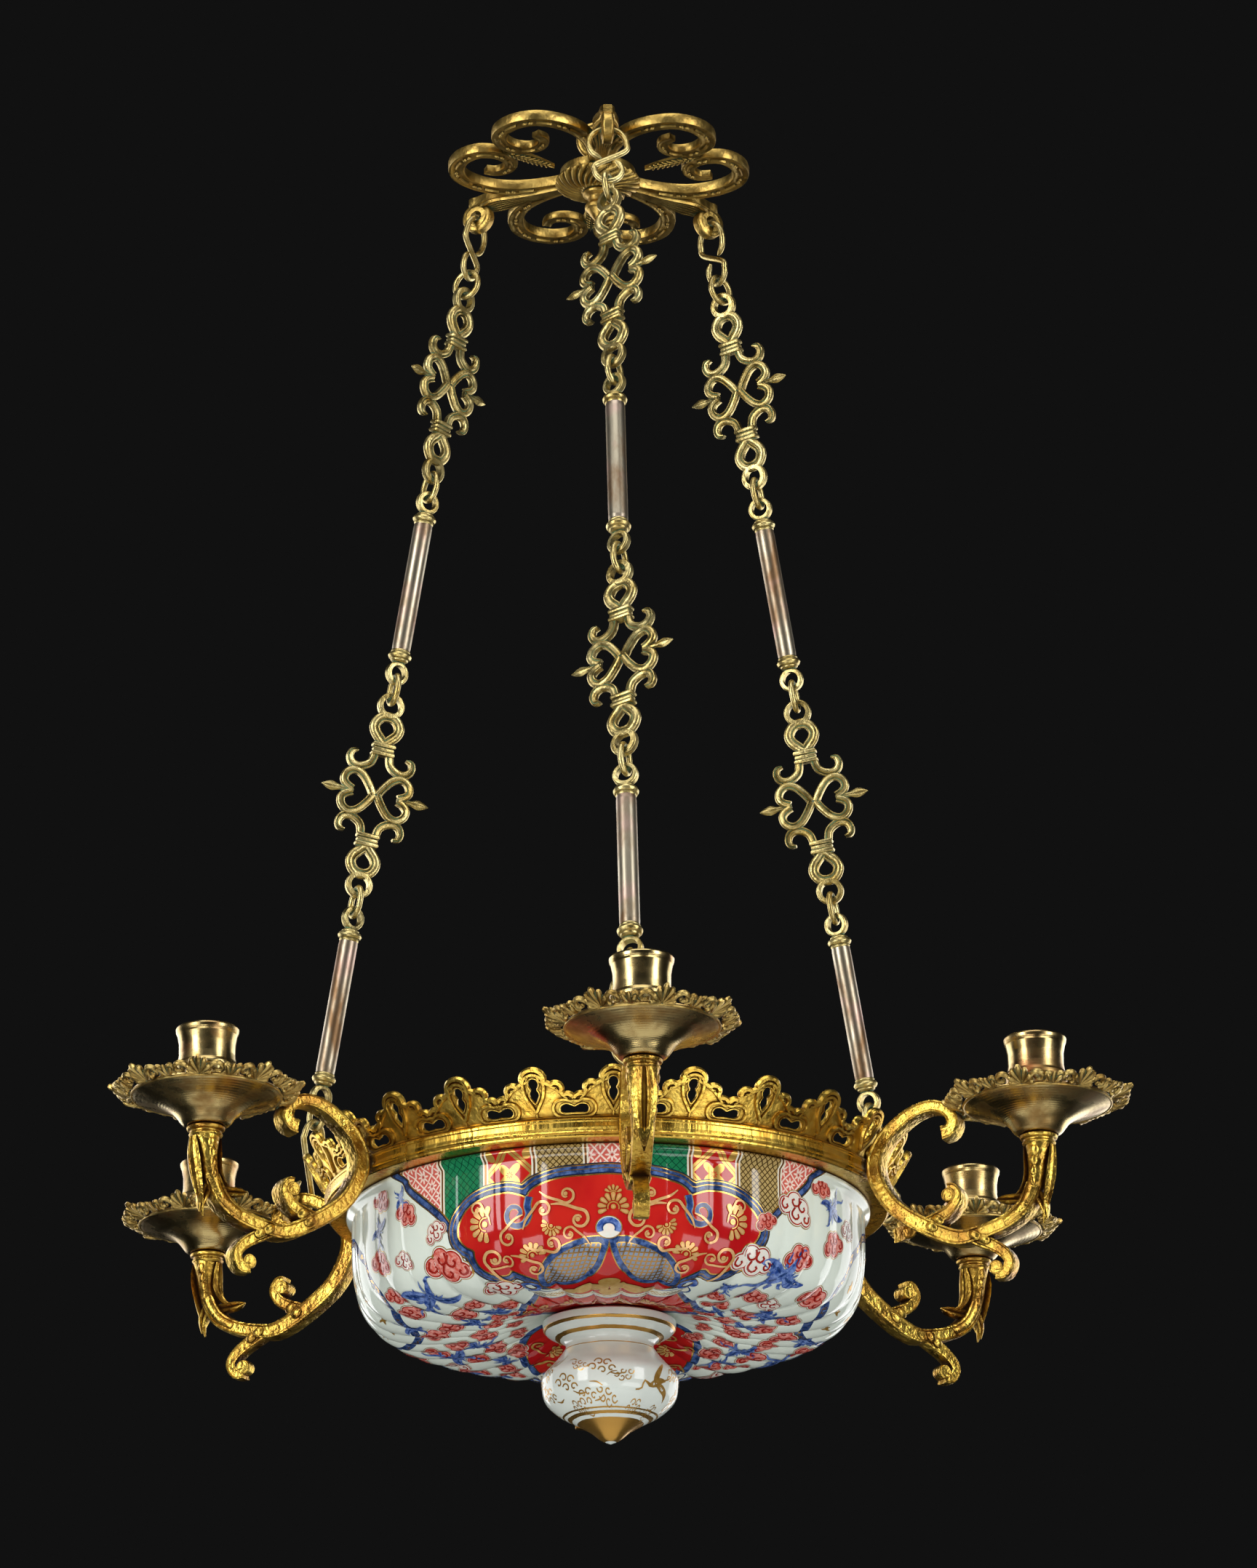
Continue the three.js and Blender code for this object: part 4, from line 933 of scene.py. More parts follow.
@dataclass
class ChainMaker:
    """The three chains: S-hooks, rings, ornamental links and turned rods."""

    lug_radius: float = 78.4
    lug_height: float = -39.8
    lean: float = 10.80
    wire: float = 3.3
    link_length: float = 107.0
    rod_length: float = 104.6
    turns: dict[str, tuple[float, float, float, float]] = field(default_factory=lambda: {
        "front": (-42, -41, -36, -20), "right": (25, 35, 44, 26), "left": (-15, -30, -46, -24)})
    azimuths: dict[str, float] = field(default_factory=lambda: {"front": 0.0, "right": 120.0, "left": 240.0})

    def link(self) -> Shape:
        """The ornamental link in the x-z plane, its middle at the origin."""
        quarter = bmesh.new()

        def stand(x: float, y: float) -> Vector:
            return Vector((x, 0, y))

        half, thick = 2.35, 2.2
        hook = [(4.0, 25.4, 1), (5.6, 19, 1), (9.2, 15.9, 1), (13.2, 14.8, 1), (16.8, 16.2, 1), (18.4, 19.6, 0.9),
                (17.4, 22.8, 0.78), (14.4, 23.7, 0.34)]
        sweep(quarter, planar([(x, y, half * w, thick) for x, y, w in hook], 38, stand), BAND, Y)
        heart = [(1.2, 0), (4.4, 5.2), (9.0, 10.4), (14.0, 12.2), (18.2, 9.8), (19.4, 5.6), (17.4, 2.7), (13.6, 0.8)]
        sweep(quarter, planar([(x, y, half, thick) for x, y in heart], 38, stand), BAND, Y)
        corner = shape(quarter)
        side = bmesh.new()
        leaf = [(13.0, 0, 1.3, 1.6), (17, 0, 2.0, 2.1), (21, 0, 1.5, 2.0), (25.4, 0, 2.7, 2.0), (28.6, 0, 2.0, 1.6),
                (31.8, 0, 0.3, 0.5)]
        sweep(side, planar(leaf, 22, stand), LEAF, Y)
        sweep(side, planar(leaf, 22, stand), LEAF, -Y)
        flank = shape(side)
        end = bmesh.new()
        drop = [(0, 31), (3.4, 33.8), (6.2, 37), (7.2, 40.6), (5.6, 44.4), (2.4, 46.6)]
        ring = [(-x, y, 3.0, thick) for x, y in drop] + [(x, y, 3.0, thick) for x, y in reversed(drop[1:])]
        sweep(end, planar(ring, 60, stand, closed=True), BAND, Y, closed=True)
        eyelet(end, [(4.9, 2.2, 0), (7.2, 2.2, 0.8), (7.85, 1.4, 0.6)], Z * (self.link_length / 2))
        for k, width in enumerate((13.6, 12.4, 13.6)):
            block(end, Vector((0, 0, 27 + (k - 1) * 2.5)), (width, 6.4 - (k == 1) * 1.2, 2.5), None, 1.0)
        tip = shape(end)
        bm = bmesh.new()
        for i in (1, -1):
            add_mesh(bm, flank, Matrix.Diagonal((i, 1, 1, 1)))
            add_mesh(bm, tip, Matrix.Diagonal((1, 1, i, 1)))
            for j in (1, -1):
                add_mesh(bm, corner, Matrix.Diagonal((i, 1, j, 1)))
        return shape(bm)

    def rod(self) -> Shape:
        """The turned rod with its flat eyes, along z, its middle at the origin."""
        bm = bmesh.new()
        half = self.rod_length / 2
        s = half - 8
        upper = [
            (0, s + 1.4, 0), (3.6, s + 1.4, 0.3), (5.0, s + 0.6, 0.8), (5.0, s - 0.2, 0.4), (6.2, s - 0.8, 0.6),
            (6.9, s - 2.4, 0.9), (6.2, s - 3.8, 0.5), (5.2, s - 4.2, 0.2), (5.6, s - 5.0, 0.4), (5.2, s - 5.8, 0.3),
            (5.4, s - 8, 2)]
        profile = fillet(upper + [(r, -z, f) for r, z, f in reversed(upper)])
        turn_profile(bm, profile, 40)
        for face in bm.faces:
            face.material_index = int(all(abs(vert.co.z) < s - 5.5 for vert in face.verts))
        for sign in (1, -1):
            eyelet(bm, [(4.6, 2.2, 0), (6.3, 2.2, 0.7), (6.9, 1.5, 0.6)], Z * (sign * half))
        return shape(bm)

    def ring(self, half_length: float, half_width: float) -> Shape:
        """A wire ring in the y-z plane."""
        bm = bmesh.new()
        stretch = half_length - half_width
        rows = []
        for a in np.linspace(0, tau, 48, endpoint=False):
            y, z = half_width * cos(a), half_width * sin(a)
            rows.append([0, y, z + stretch * sin(a), self.wire / 2, self.wire / 2])
        sweep(bm, np.array(rows), WIRE, X, closed=True)
        return shape(bm)

    def hook(self, span: float, upper: float, lower: float) -> Shape:
        """An S-hook in the x-z plane, its top wire centre at the origin."""
        bm = bmesh.new()

        def arc(radius: float, middle: float, start: float, sweep_by: float) -> list[tuple[float, float]]:
            turns = [radians(start + i / 9 * sweep_by) for i in range(10)]
            return [(radius * cos(t), middle + radius * sin(t)) for t in turns]

        path = arc(upper, -upper, -112, -278) + arc(lower, lower - span, 150, 266)
        rows = flow(path, 110)
        size = self.wire / 2
        thick = [size * (0.45 + 0.55 * sin(min(1, k / 4) * pi / 2)) for k in range(len(rows))]
        ends = [min(a, b) for a, b in zip(thick, reversed(thick))]
        sweep(bm, np.array([[x, 0, z, t, t] for (x, z), t in zip(rows, ends)]), WIRE, Y)
        return shape(bm)

    def place(self, shop: Shop, side: str, node: str, turn: float) -> tuple[Matrix, float]:
        """Where a chain piece sits.

        Args:
            shop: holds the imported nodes.
            side: the chain's side.
            node: the CAD node that the piece stands for.
            turn: its turn about the chain's line in degrees.

        Returns:
            The matrix of its middle, in millimetres, and its length along the line.
        """
        line = (Matrix.Rotation(radians(self.azimuths[side]), 4, "Z")
                @ Matrix.Translation((0, -self.lug_radius, self.lug_height))
                @ Matrix.Rotation(-radians(self.lean), 4, "X"))
        back = line.inverted()
        heights = [(back @ (vert.co / MM)).z for vert in shop.frame["nodes"][node].data.vertices]
        middle = (min(heights) + max(heights)) / 2
        matrix = line @ Matrix.Translation((0, 0, middle)) @ Matrix.Rotation(radians(turn), 4, "Z")
        return matrix, max(heights) - min(heights)

    def build(self, shop: Shop) -> None:
        """Makes the three chains."""
        brass = [shop.finishes.chain]
        link, rod = self.link(), self.rod()
        big, small = self.ring(8, 8), self.ring(8.5, 5.8)
        for side, (upper_link, upper_rod, lower_link, lower_rod) in self.turns.items():
            body = f"chain_{side}"
            plan = [
                ("top_ring", big, body, upper_link / 2),
                ("upper_link", link, f"upper_link_{side}", upper_link),
                ("upper_link_ring", small, body, (upper_link + upper_rod) / 2),
                ("upper_rod", rod, f"upper_rod_{side}", upper_rod),
                ("middle_ring", small, body, (upper_rod + lower_link) / 2),
                ("lower_link", link, f"lower_link_{side}", lower_link),
                ("lower_link_ring", small, body, (lower_link + lower_rod) / 2),
                ("lower_rod", rod, f"lower_rod_{side}", lower_rod),
                ("foot_ring", small, body, lower_rod / 2),
            ]
            for name, mesh, rides, turn in plan:
                node = f"{name}_{side}"
                matrix, _ = self.place(shop, side, node, turn)
                finish = [shop.finishes.chain, shop.finishes.rod] if mesh is rod else brass
                shop.piece(f"cast_{node}", mesh, rides, finish, [node], matrix)
            for name, upper, lower in (("top_s_hook", 10.8, 7.8), ("foot_s_hook", 9.7, 9.7)):
                node = f"{name}_{side}"
                matrix, length = self.place(shop, side, node, 0)
                span = length - self.wire
                mesh = self.hook(span, upper, lower)
                lift = Matrix.Translation((0, 0, span / 2))
                shop.piece(f"bent_{node}", mesh, body, brass, [node], matrix @ lift)


# ---------------------------------------------------------------- rim


@dataclass
class Rim:
    """The rim band with its flange and cross bars, and the gallery of palmettes on it."""

    low: float = -657.8
    high: float = -647.8
    outer: float = 153.4
    inner: float = 146.5
    flange: float = 133.0
    base: float = -646.66
    foot: float = 148.7
    flare: float = 31.7
    pitch: float = 38.94
    count: int = 24
    phase: float = -2.9

    def band(self) -> Shape:
        """The band, its flange over the bowl's lip, its cross bars and their boss."""
        bm = bmesh.new()
        lo, hi, out = self.low, self.high, self.outer
        turn_profile(bm, fillet([
            (self.flange, lo, 0), (out - 2.6, lo, 0.3), (out - 1.7, lo + 0.6, 0.5), (out - 1.7, lo + 1.7, 0.3),
            (out - 0.5, lo + 2.2, 0.4), (out, lo + 3.0, 0.6), (out - 0.7, lo + 5.2, 2.0), (out - 0.6, hi - 2.2, 0.6),
            (out - 0.1, hi - 1.8, 0.2), (out, hi - 0.8, 0.5),
            (out - 0.6, hi, 0.4), (self.inner, hi, 0.4), (self.inner, lo + 2.4, 0), (self.flange, lo + 2.4, 0.3),
            (self.flange, lo, 0)]), 288)
        for i in range(3):
            turn = Matrix.Rotation(pi / 2 + i * tau / 3, 4, "Z")
            block(bm, turn @ Vector((67.5, 0, lo + 3.4)), (134, 12, 3), turn, 0.4)
        turn_profile(bm, fillet([(4.3, lo + 1.9, 0), (16, lo + 1.9, 0.4), (16, lo + 5.9, 0.8), (4.3, lo + 5.9, 0),
                                 (4.3, lo + 1.9, 0)]), 48)
        return shape(bm)

    def place(self, co: Vector) -> Vector:
        """Leans a point of the flat palmette outward and wraps it round the rim."""
        lean = radians(self.flare)
        turn = co.x / self.foot
        r = self.foot + co.y * sin(lean) + co.z * cos(lean)
        z = self.base + co.y * cos(lean) - co.z * sin(lean)
        return Vector((r * sin(turn), -r * cos(turn), z))

    def lobes(self, grow: float = 0.0) -> list[tuple[float, float]]:
        """The right edge of a palmette from its saddle to its tip, moved outward by grow."""
        points = [(self.pitch / 2, 12.6 + grow)]
        for x, y, radius, start, end in ((16.2, 10.6, 3.9, 38, 128), (10.6, 16.4, 4.2, -30, 132),
                                         (0, 21.6, 6.6, -12, 90)):
            count = 9
            for i in range(count + 1):
                turn = radians(start + (end - start) * i / count)
                r = radius + grow
                points.append((x + r * cos(turn), y + r * sin(turn)))
        return points

    def unit(self) -> Shape:
        """One palmette drawn flat: the pierced plate and its raised beads."""
        half = self.pitch / 2
        bm = bmesh.new()
        slot = [
            (half, 2.9), (14.8, 2.7), (12.5, 3.6), (11.9, 5.5), (13.0, 7.6), (15.6, 8.3), (17.8, 7.6), (half, 6.7)]
        right = [(half, 0), *flow(slot, 16), *self.lobes()]
        left = [(-x, y) for x, y in reversed(right)]
        edge = right[:-1] + left
        drop = [
            (0, 8.8), (1.5, 10.6), (2.6, 13.0), (2.4, 15.0), (1.7, 16.3), (2.4, 17.6), (2.8, 19.4), (2.0, 21.6),
            (0, 22.5)]
        pear = flow(mirrored(drop), 40, closed=True)
        edges = []
        for loop in (edge, pear):
            verts = [bm.verts.new((x, y, -1.0)) for x, y in loop]
            edges += [bm.edges.new((verts[i - 1], verts[i])) for i in range(len(verts))]
        bmesh.ops.triangle_fill(bm, use_beauty=True, use_dissolve=False, edges=edges, normal=Z)
        for k in range(-6, 7):
            everything = bm.verts[:] + bm.edges[:] + bm.faces[:]
            bmesh.ops.bisect_plane(bm, geom=everything, dist=0.001, plane_co=(k * 3.0, 0, 0), plane_no=X)
        lifted = bmesh.ops.extrude_face_region(bm, geom=bm.faces[:])["geom"]
        bmesh.ops.translate(bm, vec=(0, 0, 2.0), verts=[v for v in lifted if isinstance(v, BMVert)])
        at_side = [f for f in bm.faces if all(abs(abs(v.co.x) - half) < 0.002 for v in f.verts)]
        bmesh.ops.delete(bm, geom=at_side, context="FACES_ONLY")

        def rail(points: Points, size: float, height: float, steps: int, closed: bool = False) -> None:
            rows = flow(points, steps, closed)
            path = np.array([[x, y, 1.0, size, height] for x, y in rows])
            sweep(bm, path, WIRE[::2], Z, closed)

        bean = [(half, 9.9), (17.7, 9.5), (14.6, 10.5), (10.8, 9.7), (8.8, 6.6), (9.5, 3.2), (12.6, 1.4), (half, 1.2)]
        for sign in (1, -1):
            rail([(x * sign, y) for x, y in self.lobes(-1.1)], 1.5, 1.7, 60)
            rail([(x * sign, y) for x, y in self.lobes(-3.7)[1:]], 0.95, 1.15, 50)
            rail([(x * sign, y) for x, y in bean], 1.05, 1.5, 26)
            rail([(x * sign, y) for x, y in slot], 0.5, 0.75, 26)
        frame = [(0, 4.6), (1.7, 7.4), (3.9, 11.4), (4.9, 15.2), (5.1, 19.2), (4.0, 22.8), (0, 24.6)]
        rail(mirrored(frame), 1.15, 1.65, 60, closed=True)
        rail(mirrored(drop), 0.45, 0.75, 48, closed=True)
        rail([(0, 1.4), (0, 4.8)], 0.8, 0.9, 4)
        rail([(-half, 0.9), (0, 0.9), (half, 0.9)], 1.0, 1.2, 12)
        for vert in bm.verts:
            vert.co = self.place(vert.co)
        bmesh.ops.remove_doubles(bm, verts=bm.verts, dist=WELD)
        mesh = bpy.data.meshes.new("palmette")
        bm.to_mesh(mesh)
        bm.free()
        return mesh

    def gallery(self) -> Shape:
        """The whole ring of palmettes."""
        unit = self.unit()
        bm = bmesh.new()
        for i in range(self.count):
            add_mesh(bm, unit, Matrix.Rotation(radians(self.phase) + i * tau / self.count, 4, "Z"))
        return shape(bm)

    def build(self, shop: Shop) -> None:
        """Makes the band and the gallery."""
        shop.piece("burnished_band", self.band(), "bowl_frame", [shop.finishes.burnished], ["rim_band"])
        shop.piece("palmette_gallery", self.gallery(), "bowl_frame", [shop.finishes.gilt], ["gallery"])


# ---------------------------------------------------------------- bowl and finial


@dataclass
class Brush:
    """Paints motifs on a curved skin as thin sheets, one mesh for each paint, each paint a little above the last.

    A motif is drawn flat, x to the right and y up in millimetres, and laid at an azimuth and a distance down. Sheets
    lie lift over the skin and step apart, and dabs of a radius over large follow its flutes.
    """

    skin: Callable[[float, float, float], Vector]
    girth: Callable[[float], float]
    sheets: dict[Paint, Mesh] = field(default_factory=lambda: {paint: bmesh.new() for paint in Paint})
    azimuth: float = 0.0
    down: float = 0.0
    turn: float = 0.0
    size: float = 1.0
    large: float = 2.4
    lift: float = 0.14
    step: float = 0.06

    def at(self, azimuth: float, down: float, turn: float = 0.0, size: float = 1.0) -> "Brush":
        """Moves to a place on the skin, with a turn in degrees and a size for the motifs drawn there."""
        self.azimuth, self.down, self.turn, self.size = azimuth, down, radians(turn), size
        return self

    def settle(self, paint: Paint, verts: Iterable[BMVert]) -> None:
        """Lays flat vertices on the skin."""
        lift = self.lift + self.step * list(Paint).index(paint)
        c, s = cos(self.turn) * self.size, sin(self.turn) * self.size
        for vert in verts:
            x, y = vert.co.x * c - vert.co.y * s, vert.co.x * s + vert.co.y * c
            down = self.down - y
            vert.co = self.skin(self.azimuth + degrees(x / self.girth(down)), down, lift)

    def dot(self, paint: Paint, x: float, y: float, radius: float, squash: float = 1.0) -> None:
        """A round or oval dab."""
        bm = self.sheets[paint]
        matrix = Matrix.Translation((x, y, 0)) @ Matrix.Diagonal((1, squash, 1, 1))
        if radius * self.size > self.large:
            # A large dab is a grid pulled round, with corners enough to follow the flutes.
            verts = bmesh.ops.create_grid(bm, x_segments=7, y_segments=7, size=1)["verts"]
            for vert in verts:
                u, v = vert.co.x, vert.co.y
                vert.co = matrix @ (radius * Vector((u * sqrt(1 - v * v / 2), v * sqrt(1 - u * u / 2), 0)))
        else:
            made = bmesh.ops.create_circle(bm, cap_ends=True, cap_tris=True, segments=14, radius=radius, matrix=matrix)
            verts = made["verts"]
        self.face_out(bm, verts)
        self.settle(paint, verts)

    def stroke(self, paint: Paint, points: Points, steps: int) -> None:
        """A brush stroke through points of x, y and half width."""
        bm = self.sheets[paint]
        rows = flow(points, steps)
        verts = bmesh.ops.create_grid(bm, x_segments=steps, y_segments=1, size=1)["verts"]
        columns = sorted({round(vert.co.x, 4) for vert in verts})
        ahead = np.gradient(rows[:, :2], axis=0)
        for vert in verts:
            i = min(columns.index(round(vert.co.x, 4)), len(rows) - 1)
            x, y, w = rows[i]
            dx, dy = ahead[i] / max(np.linalg.norm(ahead[i]), 1e-9)
            side = 1 if vert.co.y > 0 else -1
            vert.co = Vector((x - dy * w * side, y + dx * w * side, 0))
        self.face_out(bm, verts)
        self.settle(paint, verts)

    @staticmethod
    def face_out(bm: Mesh, verts: Sequence[BMVert]) -> None:
        """Turns flat faces to look out of the skin."""
        faces = list({face for vert in verts for face in vert.link_faces})
        for face in faces:
            face.normal_update()
        bmesh.ops.reverse_faces(bm, faces=[face for face in faces if face.normal.z < 0])

    def cloud(self, filled: bool = True) -> None:
        """A curled cloud of five lobes, about 12 mm across."""
        lobes = [(-4.6, -0.6, 2.5), (-1.6, 2.2, 2.7), (2.2, 1.8, 2.6), (4.8, -0.8, 2.2), (0.6, -1.6, 2.8)]
        for x, y, r in lobes:
            self.dot(Paint.GILT_EDGE, x, y, r + 1.0)
            self.dot(Paint.GROUND, x, y, r + 0.72)
            self.dot(Paint.IRON_RED, x, y, r + 0.42)
            self.dot(Paint.RED_WASH if filled else Paint.PALE_WASH, x, y, r)
        for i, (x, y, r) in enumerate(lobes):
            hand = -1 if i % 2 else 1
            curl = [(x + hand * (r - 0.4) * k * cos(2.2 + a), y + (r - 0.4) * k * sin(2.2 + a), 0.34)
                    for k, a in ((1, 0), (0.86, 1.2), (0.7, 2.4), (0.5, 3.7), (0.25, 5.0))]
            self.stroke(Paint.CURL, curl, 8)

    def scroll(self, hand: int = 1, paint: Paint = Paint.GOLD, width: float = 0.55) -> None:
        """A tendril that winds one and a half times round a centre, about 5 mm across, and trails away."""
        points = [(hand * 9.5, -3.4, width * 0.4), (hand * 6.0, -3.9, width * 0.9), (hand * 1.5, -3.2, width)]
        for k in range(8):
            turn = -2.1 - k * 0.95
            reach = 3.1 * (1 - k / 9.5)
            points.append((hand * reach * cos(turn), reach * sin(turn), width * (1 - k * 0.06)))
        self.stroke(paint, points, 36)
        self.dot(paint, hand * 0.4, 0.1, width * 1.5)

    def fan(self, petals: int = 8, spread: float = 200, reach: float = 7.0) -> None:
        """A half flower that opens upward: a beaded heart, a gold band and round-tipped petals."""
        for i in range(petals):
            turn = radians(90 + spread * (i / (petals - 1) - 0.5))
            c, s = cos(turn), sin(turn)
            wide = reach * radians(spread) / petals * 0.36
            for paint, grow in ((Paint.GOLD, 0.0), (Paint.PALE, -0.42)):
                rows = [(c * r, s * r, max(w + grow, 0.12)) for r, w in
                        ((reach * 0.46 - grow, wide * 0.45), (reach * 0.7, wide * 0.85), (reach * 0.9, wide),
                         (reach + grow, wide * 0.5))]
                self.stroke(paint, rows, 5)
        arc = [(reach * 0.36 * cos(t), reach * 0.36 * sin(t), 0.32)
               for t in np.linspace(radians(90 - spread / 2), radians(90 + spread / 2), 7)]
        self.stroke(Paint.GOLD, arc, 12)
        self.dot(Paint.GOLD, 0, reach * 0.05, reach * 0.16)
        self.dot(Paint.PALE, 0, reach * 0.05, reach * 0.09)

    def gilt_cloud(self) -> None:
        """A gold cloud in outline: five curled lobes over a trailing tail, about 14 mm across."""
        for x, y, reach, hand in ((-4.6, 0.2, 2.5, 1), (-1.4, 3.0, 2.6, 1), (2.6, 2.4, 2.4, -1), (5.0, -0.8, 2.1, -1),
                                  (0.4, -1.6, 2.3, 1)):
            curl = []
            for k in range(8):
                turn, far = 3.0 - k * 0.78, 1 - k / 9
                curl.append((x + hand * reach * far * cos(turn), y + reach * far * sin(turn), 0.36))
            self.stroke(Paint.GILT_EDGE, curl, 18)
        self.stroke(Paint.GILT_EDGE, [(4.2, -2.8, 0.2), (8, -3.6, 0.4), (12, -2.6, 0.15)], 8)

    def bird(self) -> None:
        """A flying bird about 24 mm across: body, neck, two spread wings and a forked tail, in blue wash."""
        for rows in (
                [(-6, -3, 0.6), (-3, -1.4, 2.0), (1, 0.6, 2.3), (4.6, 2.8, 1.4), (7.2, 5.6, 0.8), (8.6, 8.2, 0.9)],
                [(0, 1, 1.8), (-3, 4.6, 2.5), (-6.5, 7.0, 1.9), (-10, 8.0, 0.3)],
                [(2, 0, 1.8), (5, -3.6, 2.4), (9, -5.4, 1.7), (12.5, -5.2, 0.3)],
                [(-5, -2.6, 1.0), (-8.2, -6.2, 0.9), (-9.4, -10.4, 0.7), (-12.2, -12.6, 0.2)],
                [(-5, -2.6, 1.0), (-9.4, -3.4, 0.8), (-13.2, -2.4, 0.6), (-16, -4.2, 0.2)],
                [(8.4, 8.0, 0.7), (10.4, 8.8, 0.45), (12.2, 8.2, 0.12)]):
            self.stroke(Paint.BLUE_WASH, rows, 10)
        for x, y, dx, dy in (
                (-1.5, 3.4, -2.2, 3.6), (-3.6, 4.8, -2.4, 3.4), (-6.0, 6.2, -2.4, 2.2), (3.4, -1.8, 2.8, -3.0),
                (5.8, -3.4, 3.0, -2.6), (8.4, -4.6, 3.0, -1.6), (-3.4, -1.8, 4.2, 2.2), (0.8, 0.8, 3.6, 1.8)):
            self.stroke(Paint.BLUE, [(x - dx / 2, y - dy / 2, 0.2), (x, y, 0.5), (x + dx / 2, y + dy / 2, 0.15)], 4)
        for i in range(14):
            turn, reach = 2.4 * i, 4.4 + 1.7 * (i % 4)
            x, y = reach * cos(turn), reach * sin(turn) * 0.7
            hair = [(x * 0.6, y * 0.6, 0.8), (x, y, 0.6), (x * 1.25 + 1.2, y * 1.3 + 0.8, 0.12)]
            self.stroke(Paint.BLUE_WASH, hair, 5)
        self.dot(Paint.BLUE, 8.3, 7.9, 0.5)

    def finish(self, shop: Shop, place: str) -> None:
        """Makes each sheet a piece of its own on the bowl frame."""
        for paint, bm in self.sheets.items():
            if bm.faces:
                mesh = bpy.data.meshes.new("sheet")
                bm.to_mesh(mesh)
                shop.piece(f"{place}_{paint.value}", mesh, "bowl_frame", [shop.finishes.paints[paint]])
            bm.free()


# How far down the outside a point of the inside is said to lie, and how far from every painted outline.
INSIDE, UNPAINTED = -9.0, 60.0


@dataclass
class Bowl:
    """The fluted porcelain bowl and its painting, which is the same on the front and the back."""

    lip: float = -658.1
    lip_radius: float = 141.5
    radius: float = 138.5
    wall_top: float = -666.5
    low: float = -725.6
    rise: float = 10.5
    wall: float = 5.0
    flutes: int = 38
    columns: int = 456
    front: float = -4.0
    band: float = -657.8
    cloud_scale: float = 1.32
    bird_scale: float = 1.25
    tendril_scale: float = 1.45
    # The painted outlines: degrees from the middle of the panel and millimetres down the bowl's outside.
    cartouche: tuple = (
        ((0, 16), (9, 17), (14.5, 19.5), (17, 23), (17.8, 26.5)),
        ((17.8, 26.5), (19, 25), (22.5, 22.6), (27, 23.4), (31.5, 27.5), (34.2, 34), (35, 41.5), (33.8, 47.5),
         (31.5, 50.5)),
        ((31.5, 50.5), (31.8, 55), (31, 61), (28.5, 66), (25.5, 68.2), (24, 65.5)),
        ((24, 65.5), (21, 69.5), (18.5, 74), (17, 80), (12, 84), (0, 88)))
    brocade: tuple = (
        ((0, -30), (70, -30)), ((70, -30), (51, 0), (48.5, 8), (43.5, 18), (38.5, 28), (35.5, 38)),
        ((35.5, 38), (30, 48), (0, 50)))
    side: tuple = (
        ((0, 16), (8, 19), (13, 24), (16, 30)), ((16, 30), (19.5, 38), (21, 48), (22.5, 57), (21, 66)),
        ((21, 66), (16, 74), (9, 84), (0, 90)))
    foot_panel: tuple = (
        ((0, 92), (11, 93), (20, 97), (26, 104)),
        ((26, 104), (30, 110), (37, 118), (46, 128), (58, 140), (66, 152), (66, 168)), ((66, 168), (0, 168)))
    hem: tuple = (
        ((0, 99.4), (9, 98), (17, 90.4), (21, 85)), ((21, 85), (24, 89), (23, 95), (19, 100)),
        ((19, 100), (13, 104), (8, 104.4), (0, 106)))
    diamond: tuple = (
        ((0, 50), (1.6, 62), (4.6, 74), (10, 79), (17.5, 83)), ((17.5, 83), (14.6, 91), (7, 98), (0, 99.6)))
    leaf: tuple = (
        (0, 49), (4.6, 49.2), (9.6, 52.4), (14, 58.6), (17.2, 68), (18.2, 77), (17.2, 83), (12.6, 81.4), (6.4, 77.6),
        (2.8, 68), (0.8, 57))

    def outside(self, radius: float, low: float, middle: float, steps: int) -> list[tuple[float, float]]:
        """A profile from the top of the wall to the middle of the bottom."""
        square, floor = 2 / 3.6, radius * 0.6
        points = []
        for i in range(steps + 1):
            turn = i / steps * pi / 2
            r = floor + (radius - floor) * max(cos(turn), 0) ** square
            points.append((r, self.wall_top - (self.wall_top - low) * sin(turn) ** square))
        evened = flow(points, steps)
        inward = flow([(evened[-1][0], evened[-1][1]), (radius * 0.5, low + (middle - low) * 0.12),
                       (radius * 0.38, low + (middle - low) * 0.6), (38, middle)], 14)
        return [tuple(p) for p in evened] + [tuple(p) for p in inward[1:]] + [(4.3, middle)]

    def __post_init__(self) -> None:
        """Works out the profiles, and how far down the outside each point of the outer one lies."""
        middle = self.low + self.rise
        self.outer = np.array(self.outside(self.radius, self.low, middle, 70))
        self.inner = np.array(self.outside(self.radius - self.wall, self.low + self.wall, middle + self.wall, 30))
        run = np.linalg.norm(np.diff(self.outer, axis=0), axis=1)
        self.fall = self.band - self.wall_top + np.concatenate([[0.0], np.cumsum(run)])
        ahead = np.gradient(self.outer, axis=0)
        ahead /= np.linalg.norm(ahead, axis=1)[:, None]
        self.normals = np.column_stack([-ahead[:, 1], ahead[:, 0]])
        self.dips = np.interp(self.outer[:, 0], [44, 62, 100, 132, 138], [0, 1.6, 2.3, 1.5, 0.95])

    def dip(self, azimuth: float) -> float:
        """How deep in its flute an azimuth in degrees lies, from 0 on the crest to 1 in the valley."""
        return 1 - abs(sin(radians(self.flutes / 2 * azimuth))) ** 0.75

    def skin(self, azimuth: float, down: float, lift: float) -> Vector:
        """A point over the outside, at an azimuth in degrees, millimetres down, lifted off the surface."""
        if down < self.fall[0]:
            r, z, out, up, deep = self.radius, self.band - down, 1.0, 0.0, self.dips[0] * max(0, down - 4) / 4.7
        else:
            columns = (*self.outer.T, *self.normals.T, self.dips)
            r, z, out, up, deep = (float(np.interp(down, self.fall, values)) for values in columns)
        lift -= self.dip(azimuth) * deep
        turn = radians(azimuth)
        return Vector(((r + out * lift) * sin(turn), -(r + out * lift) * cos(turn), z + up * lift))

